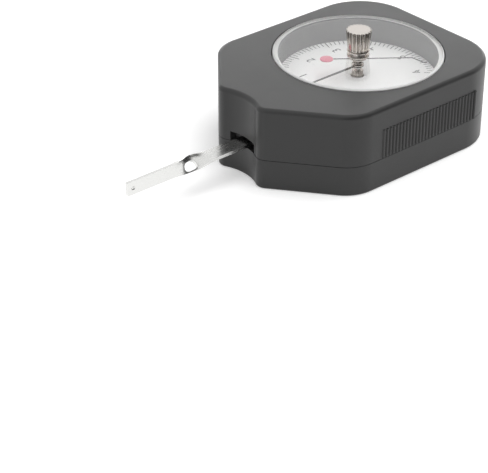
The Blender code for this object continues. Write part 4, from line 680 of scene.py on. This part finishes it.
bm = bmesh.new()
for tick in TICKS:
    tick_marks(bm, *tick)
for number in range(5):
    for side in ((1,) if number == 0 else (1, -1)):
        digit(bm, str(number), side * DIVISION * number)
digit(bm, "5", 180)
bmesh.ops.recalc_face_normals(bm, faces=bm.faces)
make_piece("dial_scale_print", bm, [print_ink], "case", [])


# Spacer ring between the dial and the lens: a grey band, moulded in ABS, that lines the wall of the well.
# It is dropped in over the dial, and the lens is bonded down on it.

RING_FOOT = 22.8 * MM
RING_INNER = 22.95 * MM
RING_OUTER = 24.63 * MM
RING_LOW = 16.15 * MM
RING_TOP = 23.05 * MM
RING_CHAMFER = 0.15 * MM
grey_ring = new_material("abs_moulded_grey", "#7c7c7c", {"Roughness": 0.45, "IOR": 1.52})
grain = grain_of(grey_ring, ABS_GRAIN, 3.0)
lift(grey_ring, grain, 0.25, 0.02 * MM)
vary_gloss(grey_ring, grain, 0.4, 0.52)
# the white cement under the lens shows through it as a pale band; inside a circle set off towards the tail,
# the ring's top is painted a grey darker than the ring itself, which is painted shade
CEMENT_CLOUD = 1.2 * MM
# the circle of painted shade: its radius, its offset towards the tail and the width of its soft edge
PAINTED_SHADE_REACH = 23.01 * MM
PAINTED_SHADE_SHIFT = (0.8 * MM, -0.68 * MM)
PAINTED_SHADE_EDGE = 0.1 * MM
cement_and_painted_shade = new_material("cement_white_and_painted_shade", "#e4e4e2", {"Roughness": 0.6})
vary_gloss(cement_and_painted_shade, grain_of(cement_and_painted_shade, CEMENT_CLOUD, 3.0), 0.5, 0.7)
coords = add_node(cement_and_painted_shade, "TexCoord", {})
spread = add_node(cement_and_painted_shade, "VectorMath", {0: coords.outputs["Object"], 1: (*PAINTED_SHADE_SHIFT, RING_TOP)},
                  None, operation="DISTANCE")
cement_beyond_shade = add_node(cement_and_painted_shade, "MapRange", {"Value": spread.outputs["Value"],
                                             "From Min": PAINTED_SHADE_REACH - PAINTED_SHADE_EDGE,
                                             "From Max": PAINTED_SHADE_REACH + PAINTED_SHADE_EDGE}, None)
# painted shade inside the circle, the cement's pale white outside it
blend_color(cement_and_painted_shade, cement_beyond_shade.outputs[0], "#5c5c5c", "#e4e4e2")
profile = [(RING_FOOT, RING_LOW), (RING_OUTER, RING_LOW), (RING_OUTER, RING_TOP),
           (RING_INNER + RING_CHAMFER, RING_TOP), (RING_INNER, RING_TOP - RING_CHAMFER)]
bm = turned(profile, 128)
for face in bm.faces:
    if face.calc_center_median().z > RING_TOP - RING_CHAMFER / 10:
        face.material_index = 1
make_piece("dial_spacer_ring", bm, [grey_ring, cement_and_painted_shade], "case", ["dial_ring"])


# Sleeve of the upper bush, which stands up through the dial. It is turned from brass, straight knurled
# to grip in the plate, and nickel plated.

FLUTE_POINTS = 12
KNURL_COUNT = 22
KNURL_DEPTH = 0.13 * MM
FLUTE_SHARE = 0.33
SLEEVE_BORE = 0.86 * MM
SLEEVE_BORE_LOW = 14.5 * MM
SLEEVE_BORE_TOP = 18.5 * MM
# radius and height of the outline, and radius, height and flute depth of the knurl's rings, all in mm
SLEEVE_OUTLINE = ((0.86, 13.1), (2.2, 13.1), (2.2, 14.55), (2.8, 14.55), (2.8, 15.05), (1.2, 15.05),
                  (1.2, 17.0), (0.86, 17.0))
KNURL_RINGS = ((1.65, 14.9, 1), (1.65, 17.82, 1), (1.62, 17.88, 0.5), (1.57, 17.9, 0))


def soften(bm, radius):
    """Break the sharp edges of a turned piece."""
    sharp = [edge for edge in bm.edges if edge.is_manifold and edge.calc_face_angle() > math.radians(35)]
    bmesh.ops.bevel(bm, geom=sharp, offset=radius, offset_type="OFFSET", segments=2, profile=0.5,
                    affect="EDGES", clamp_overlap=True, material=-1)
    return bm


def flute_circle(bm, radius, height, depth, count):
    """A ring of vertices about Z, pulled in at each flute by the depth given."""
    ring = bmesh.ops.create_circle(bm, segments=count * FLUTE_POINTS, radius=radius)["verts"]
    for vert in ring:
        along = (math.atan2(vert.co.y, vert.co.x) / FULL_TURN * count) % 1.0
        dip = max(0.0, 1 - (abs(along - 0.5) / FLUTE_SHARE) ** 2)
        vert.co.xy *= 1 - depth * math.sqrt(dip) / radius
        vert.co.z = height
    return list({edge for vert in ring for edge in vert.link_edges})


def fluted(stages, depth, count):
    """Join rings of (radius, height, share of the flute's depth) into a closed fluted solid."""
    bm = bmesh.new()
    loops = [flute_circle(bm, radius * MM, height * MM, depth * share, count)
             for radius, height, share in stages]
    for lower, upper in zip(loops, loops[1:]):
        bmesh.ops.bridge_loops(bm, edges=lower + upper)
    bmesh.ops.holes_fill(bm, edges=[edge for edge in bm.edges if edge.is_boundary], sides=0)
    bmesh.ops.recalc_face_normals(bm, faces=bm.faces)
    return bm


def turned_mm(outline, edge=None):
    """Turn an outline given in millimetres, and break its edges where an edge radius is given."""
    bm = turned([(radius * MM, height * MM) for radius, height in outline], 64)
    return soften(bm, edge) if edge else bm


sleeve = make_piece("dial_sleeve", turned_mm(SLEEVE_OUTLINE, 0.08 * MM), [nickel], "case",
                    ["pinion_bush_upper"])
carve(sleeve, "UNION", [fluted(KNURL_RINGS, KNURL_DEPTH, KNURL_COUNT)])
carve(sleeve, "DIFFERENCE", [solid_rod(SLEEVE_BORE, SLEEVE_BORE_LOW, SLEEVE_BORE_TOP, (0, 0), 64)])


# Live pointer: a needle etched from thin spring sheet and painted matt black. It is pressed on a nickel
# plated hub, which goes on the pinion's arbor.

NEEDLE_LOW = 19.15 * MM
NEEDLE_TOP = 19.4 * MM
NEEDLE_ROOT_HALF = 0.375 * MM
NEEDLE_TIP_HALF = 0.175 * MM
NEEDLE_REACH = 21.0 * MM
NEEDLE_EYE_RADIUS = 1.8 * MM
NEEDLE_HOLE_RADIUS = 1.3 * MM
# radius and height of the hub's outline in mm
NEEDLE_HUB_OUTLINE = ((0.85, 18.7), (1.25, 18.7), (1.25, 19.45), (1.8, 19.45), (1.8, 19.75), (1.35, 19.9),
                      (1.35, 20.3), (0.85, 20.3))
PAINT_TEXTURE = 0.5 * MM
black_paint = new_material("paint_matt_black", "#2c2c2d", {"Roughness": 0.45})
flow = grain_of(black_paint, PAINT_TEXTURE, 3.0)
lift(black_paint, flow, 0.15, 0.01 * MM)
vary_gloss(black_paint, flow, 0.38, 0.55)

bm = bmesh.new()
needle_face = bm.faces.new([bm.verts.new((x, y, NEEDLE_LOW)) for x, y in (
    (-NEEDLE_ROOT_HALF, 0), (NEEDLE_ROOT_HALF, 0), (NEEDLE_TIP_HALF, NEEDLE_REACH),
    (-NEEDLE_TIP_HALF, NEEDLE_REACH))])
raise_face(bm, needle_face, NEEDLE_TOP - NEEDLE_LOW)
bmesh.ops.recalc_face_normals(bm, faces=bm.faces)
needle = make_piece("live_needle", bm, [black_paint], "pointer_spindle", ["live_pointer"])
carve(needle, "UNION", [solid_rod(NEEDLE_EYE_RADIUS, NEEDLE_LOW, NEEDLE_TOP, (0, 0), 64)])
carve(needle, "DIFFERENCE", [solid_rod(NEEDLE_HOLE_RADIUS, NEEDLE_LOW - OVERRUN, NEEDLE_TOP + OVERRUN,
                                       (0, 0), 64)])
make_piece("live_needle_hub", turned_mm(NEEDLE_HUB_OUTLINE, 0.06 * MM), [nickel], "pointer_spindle",
           ["live_pointer_hub"])


# Lens: a disc turned from clear cast acrylic, polished on its faces. Its bevel and its edge keep the
# white, slightly rough look of the tool.

LENS_RADIUS = 24.63 * MM
LENS_LOW = 23.1 * MM
LENS_TOP = 25.1 * MM
LENS_RIM_TOP = 24.7 * MM
LENS_FLAT = 24.28 * MM
LENS_HOLE_RADIUS = 2.05 * MM
POLISH_WAVE = 9.0 * MM
clear_acrylic = new_material("acrylic_polished_clear", "#ffffff",
                             {"Roughness": 0.02, "IOR": 1.49, "Transmission Weight": 1.0})
lift(clear_acrylic, grain_of(clear_acrylic, POLISH_WAVE, 1.0), 0.02, 0.05 * MM)

TOOL_MARK = 0.12 * MM
turned_acrylic = new_material("acrylic_turned_edge", "#f4f4f3",
                              {"Roughness": 0.45, "IOR": 1.49, "Transmission Weight": 0.2})
marks = grain_of(turned_acrylic, TOOL_MARK, 2.0)
lift(turned_acrylic, marks, 0.3, 0.02 * MM)
vary_gloss(turned_acrylic, marks, 0.38, 0.55)

profile = [(LENS_HOLE_RADIUS, LENS_LOW), (LENS_RADIUS, LENS_LOW), (LENS_RADIUS, LENS_RIM_TOP),
           (LENS_FLAT, LENS_TOP), (LENS_HOLE_RADIUS, LENS_TOP)]
bm = turned(profile, 160)
for face in bm.faces:
    face.material_index = 1 if face.calc_center_median().xy.length > LENS_FLAT else 0
make_piece("lens_disc", bm, [clear_acrylic, turned_acrylic], "case", ["lens"])


# Bush in the middle of the lens and its nut underneath: turned brass, bright nickel plated. The bush's
# flange sits on the lens.

# radius and height of the outlines in mm
BUSH_OUTLINE = ((1.06, 22.35), (2.0, 22.35), (2.0, 25.15), (3.3, 25.15), (3.3, 25.5), (1.06, 25.5))
NUT_OUTLINE = ((2.05, 22.35), (3.3, 22.35), (3.3, 23.05), (2.05, 23.05))
make_piece("lens_bush_turned", turned_mm(BUSH_OUTLINE, 0.08 * MM), [nickel], "case",
           ["lens_bush"])
make_piece("lens_nut_turned", turned_mm(NUT_OUTLINE, 0.1 * MM), [nickel], "case",
           ["lens_bush_nut"])


# Peak pointer: a fine steel wire soldered to a washer and to a small disc, which is dipped in red paint.
# The wire's far end is bent down to the needle, which pushes it round.

PEAK_ANGLE = math.radians(-142)
PEAK_LOW = 21.15 * MM
PEAK_TOP = 21.45 * MM
WIRE_RADIUS = 0.15 * MM
PEAK_DISC_RADIUS = 1.9 * MM
PEAK_TAIL_REACH = -9.05 * MM
PAINT_MARGIN = 0.05 * MM
SPINDLE_HOLE_RADIUS = 1.05 * MM
# reach and height of the wire, and radius and height of the hub's outline, in mm
WIRE_ROUTE = ((-9.05, 21.3), (15.5, 21.3), (15.8, 21.25), (16.1, 21.1), (18.9, 19.8), (19.15, 19.68),
              (19.45, 19.65), (20.0, 19.65))
PEAK_HUB_OUTLINE = ((1.05, 21.5), (2.6, 21.5), (2.6, 22.05), (1.05, 22.05))
RED_FLOW = 0.8 * MM
red_paint = new_material("paint_dipped_red", "#e2748b", {"Roughness": 0.38})
flow = grain_of(red_paint, RED_FLOW, 3.0)
lift(red_paint, flow, 0.15, 0.02 * MM)
vary_gloss(red_paint, flow, 0.3, 0.45)

# the wire itself is bare drawn steel, a dull grey with fine marks
WIRE_DRAW = 0.12 * MM
bare_wire = new_material("steel_wire_drawn", "#575050", {"Roughness": 0.35, "Metallic": 1.0})
vary_gloss(bare_wire, grain_of(bare_wire, WIRE_DRAW, 2.0), 0.28, 0.45)


def peak_point(reach, height):
    return (reach * math.sin(PEAK_ANGLE), reach * math.cos(PEAK_ANGLE), height)


def wire(points, radius):
    """A round wire along points, as a closed mesh."""
    curve = bpy.data.curves.new("wire", "CURVE")
    curve.dimensions = "3D"
    curve.bevel_depth = radius
    curve.bevel_resolution = 3
    curve.use_fill_caps = True
    spline = curve.splines.new("POLY")
    spline.points.add(len(points) - 1)
    for target, point in zip(spline.points, points):
        target.co = (*point, 1)
    holder = bpy.data.objects.new("wire", curve)
    bpy.context.collection.objects.link(holder)
    mesh = bpy.data.meshes.new_from_object(holder.evaluated_get(bpy.context.evaluated_depsgraph_get()))
    bm = bmesh.new()
    bm.from_mesh(mesh)
    bmesh.ops.remove_doubles(bm, verts=bm.verts, dist=WELD)
    bmesh.ops.recalc_face_normals(bm, faces=bm.faces)
    bpy.data.objects.remove(holder)
    bpy.data.curves.remove(curve)
    bpy.data.meshes.remove(mesh)
    return bm


peak = make_piece("peak_wire", solid_rod(PEAK_DISC_RADIUS, PEAK_LOW, PEAK_TOP, (0, 0), 64),
                  [red_paint, bare_wire], "peak_spindle", ["peak_pointer"])
route = [peak_point(reach * MM, height * MM) for reach, height in WIRE_ROUTE]
disc_place = Vector(peak_point(PEAK_TAIL_REACH, PEAK_TOP))
tail_disc = soften(solid_rod(PEAK_DISC_RADIUS, PEAK_LOW, PEAK_TOP, disc_place[:2], 64), 0.08 * MM)
carve(peak, "UNION", [wire(route, WIRE_RADIUS), tail_disc])
carve(peak, "DIFFERENCE", [solid_rod(SPINDLE_HOLE_RADIUS, PEAK_LOW - OVERRUN, PEAK_TOP + OVERRUN, (0, 0))])
for polygon in peak.data.polygons:
    painted = (polygon.center - disc_place).xy.length < PEAK_DISC_RADIUS + PAINT_MARGIN
    polygon.material_index = 0 if painted else 1

make_piece("peak_hub_turned", turned_mm(PEAK_HUB_OUTLINE, 0.1 * MM), [nickel], "peak_spindle",
           ["peak_pointer_hub"])


# Reset knob: turned from brass, fluted for the fingers and bright nickel plated. It stands on a thin
# sprung washer and turns the peak pointer through the lens.

KNOB_LOW = 25.8 * MM
KNOB_TOP = 31.75 * MM
FLUTE_COUNT = 20
FLUTE_DEPTH = 0.5 * MM
# radius and height of the washer's outline, and radius, height and flute depth of the knob's rings, in mm
WASHER_OUTLINE = ((1.3, 25.55), (2.7, 25.55), (2.7, 25.75), (1.3, 25.75))
KNOB_RINGS = ((3.0, 25.8, 0.5), (3.12, 25.86, 0.8), (3.15, 25.96, 1), (3.74, 31.62, 1), (3.72, 31.7, 1),
              (3.66, 31.75, 1))

make_piece("friction_washer_sprung", turned_mm(WASHER_OUTLINE), [bright_steel], "peak_spindle",
           ["friction_washer"])
knob = make_piece("reset_knob_fluted", fluted(KNOB_RINGS, FLUTE_DEPTH, FLUTE_COUNT), [nickel],
                  "peak_spindle", ["reset_knob"])
carve(knob, "DIFFERENCE", [solid_rod(SPINDLE_HOLE_RADIUS, KNOB_LOW - OVERRUN, KNOB_TOP - OVERRUN, (0, 0))])


# Case screws: four self-tapping steel screws with pan heads and cross recesses, zinc plated, sunk in the
# counterbores of the back.

HEAD_LOW = 0.55 * MM
HEAD_RADIUS = 1.78 * MM
HEAD_ROUND = 0.7 * MM
HEAD_TOP = 1.9 * MM
SHANK_RADIUS = 1.0 * MM
SHANK_TOP = 15.8 * MM
POINT_RADIUS = 0.3 * MM
POINT_TOP = 16.9 * MM
CROSS_LONG = 1.1 * MM
CROSS_SHORT = 0.27 * MM
CROSS_DEPTH = 0.75 * MM
CROSS_START = 0.3 * MM
CROSS_TAPER = 0.62
CROSS_TURN = 900
# radius of the head's rounded crown, and its height above the crown's flat, in mm
HEAD_CROWN = ((1.25, 0), (1.55, 0.12), (1.72, 0.35))
names = ("nose_right", "nose_left", "tail_right", "tail_left")
crown = [(radius * MM, HEAD_LOW + rise * MM) for radius, rise in HEAD_CROWN]
profile = [(0, HEAD_LOW), *crown, (HEAD_RADIUS, HEAD_LOW + HEAD_ROUND), (HEAD_RADIUS, HEAD_TOP),
           (SHANK_RADIUS, HEAD_TOP), (SHANK_RADIUS, SHANK_TOP), (POINT_RADIUS, POINT_TOP), (0, POINT_TOP)]
for name, place in zip(names, SCREW_PLACES):
    screw = make_piece("case_screw_" + name + "_pan", turned(profile, 48, place), [zinc_steel], "case",
                       ["case_screw_" + name])
    wings = []
    for half_x, half_y in ((CROSS_LONG, CROSS_SHORT), (CROSS_SHORT, CROSS_LONG)):
        wing = block((-half_x, -half_y, HEAD_LOW - CROSS_START), (half_x, half_y, HEAD_LOW + CROSS_DEPTH))
        deep = [vert for vert in wing.verts if vert.co.z > HEAD_LOW]
        bmesh.ops.scale(wing, verts=deep, vec=(CROSS_TAPER, CROSS_TAPER, 1))
        bmesh.ops.rotate(wing, verts=wing.verts, matrix=Matrix.Rotation(place[0] * CROSS_TURN, 3, "Z"))
        bmesh.ops.translate(wing, verts=wing.verts, vec=(*place, 0))
        wings.append(wing)
    carve(screw, "DIFFERENCE", wings)


# Floor: a plain white table, not part of the object. It shows pure white to the camera, to glass and to
# metal, and keeps the gauge's soft shadow.

FLOOR_GLOW = 0.36
FLOOR_HALF = 3.0
FLOOR_DROP = 0.02 * MM


def seen_rays(owner, light_path):
    """One for rays from the camera, a mirror or glass, and zero for light that falls on things."""
    seen = add_node(owner, "Math", {0: light_path.outputs["Is Camera Ray"],
                                    1: light_path.outputs["Is Glossy Ray"]}, None, operation="ADD")
    return add_node(owner, "Math", {0: seen.outputs[0], 1: light_path.outputs["Is Transmission Ray"]}, None,
                    operation="ADD", use_clamp=True).outputs[0]


floor_white = new_material("table_white", "#e6e6e6", {"Roughness": 0.9, "Specular IOR Level": 0.1})
seen = seen_rays(floor_white, add_node(floor_white, "LightPath", {}))
add_node(floor_white, "Math", {0: seen, 1: FLOOR_GLOW}, shader_input(floor_white, "Emission Strength"),
         operation="MULTIPLY")
shader_input(floor_white, "Emission Color").default_value = (1, 1, 1, 1)
bm = bmesh.new()
bmesh.ops.create_grid(bm, x_segments=1, y_segments=1, size=FLOOR_HALF)
bmesh.ops.translate(bm, verts=bm.verts, vec=(0, 0, -FLOOR_DROP))
mesh = bpy.data.meshes.new("table")
bm.to_mesh(mesh)
bm.free()
mesh.materials.append(floor_white)
table = bpy.data.objects.new("table", mesh)
bpy.context.collection.objects.link(table)
table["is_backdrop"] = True


# Room light: a white surround, one large softbox overhead that isn't mirrored in the lens, and a low strip
# behind the tail for the sheen on the case.

ROOM_LEVEL = 0.5
DIM_DIRECTION = (-0.981, -0.086, 0.174)
DIM_START = 0.3
DIM_FULL = 0.7
DIM_LEVEL = 0.15
SOFTBOX_SIZE = 0.7
SOFTBOX_POWER = 5.0
SOFTBOX_PLACE = (-0.15, -0.1, 0.8)
PANEL_SIZE = (0.5, 0.14)
PANEL_POWER = 0.55
PANEL_PLACE = (0.32, -0.34, 0.09)

world = bpy.data.worlds.new("studio")
bpy.context.scene.world = world
world.use_nodes = True
background = world.node_tree.nodes["Background"]
background.inputs["Color"].default_value = (1, 1, 1, 1)
light_path = add_node(world, "LightPath", {})

# on the gauge's left the surround is dark to whatever mirrors it, which gives the bright metal its shading
coords = add_node(world, "TexCoord", {})
facing = add_node(world, "VectorMath", {0: coords.outputs["Generated"], 1: DIM_DIRECTION}, None,
                  operation="DOT_PRODUCT")
dim = add_node(world, "MapRange", {"Value": facing.outputs["Value"], "From Min": DIM_START,
                                   "From Max": DIM_FULL, "To Min": 1.0, "To Max": DIM_LEVEL}, None,
               interpolation_type="SMOOTHSTEP")
dim = add_node(world, "MapRange", {"Value": light_path.outputs["Is Glossy Ray"], "To Min": 1.0,
                                   "To Max": dim.outputs[0]}, None)
add_node(world, "MapRange", {"Value": seen_rays(world, light_path), "To Min": ROOM_LEVEL,
                             "To Max": dim.outputs[0]}, background.inputs["Strength"])


def area_light(name, shape, power, place):
    """An area lamp that faces the gauge."""
    lamp = bpy.data.lights.new(name, "AREA")
    lamp.shape = shape
    lamp.energy = power
    holder = bpy.data.objects.new(name, lamp)
    bpy.context.collection.objects.link(holder)
    holder.location = place
    holder.rotation_euler = (-holder.location).to_track_quat("-Z", "Y").to_euler()
    return holder


softbox = area_light("softbox", "DISK", SOFTBOX_POWER, SOFTBOX_PLACE)
softbox.data.size = SOFTBOX_SIZE
softbox.visible_glossy = False
panel = area_light("back_panel", "RECTANGLE", PANEL_POWER, PANEL_PLACE)
panel.data.size, panel.data.size_y = PANEL_SIZE


# Camera: half a metre away, above the case and halfway between its nose end and its left side. The lens
# is a long one, as for small products.

FOCAL_LENGTH = 129.98
SENSOR_WIDTH = 36.0
CAMERA_PLACE = (-328.95 * MM, 320.27 * MM, 245.84 * MM)
AZIMUTH = math.radians(139.86)
ELEVATION = math.radians(31.76)
camera_data = bpy.data.cameras.new("camera")
camera_data.lens = FOCAL_LENGTH
camera_data.sensor_fit = "HORIZONTAL"
camera_data.sensor_width = SENSOR_WIDTH
camera_data.clip_start = 0.01
camera_data.clip_end = 20.0
camera = bpy.data.objects.new("camera", camera_data)
bpy.context.collection.objects.link(camera)
camera.location = CAMERA_PLACE
sight = -Vector((math.cos(AZIMUTH) * math.cos(ELEVATION), math.sin(AZIMUTH) * math.cos(ELEVATION),
                 math.sin(ELEVATION)))
camera.rotation_euler = sight.to_track_quat("-Z", "Y").to_euler()
bpy.context.scene.camera = camera

low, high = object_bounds()
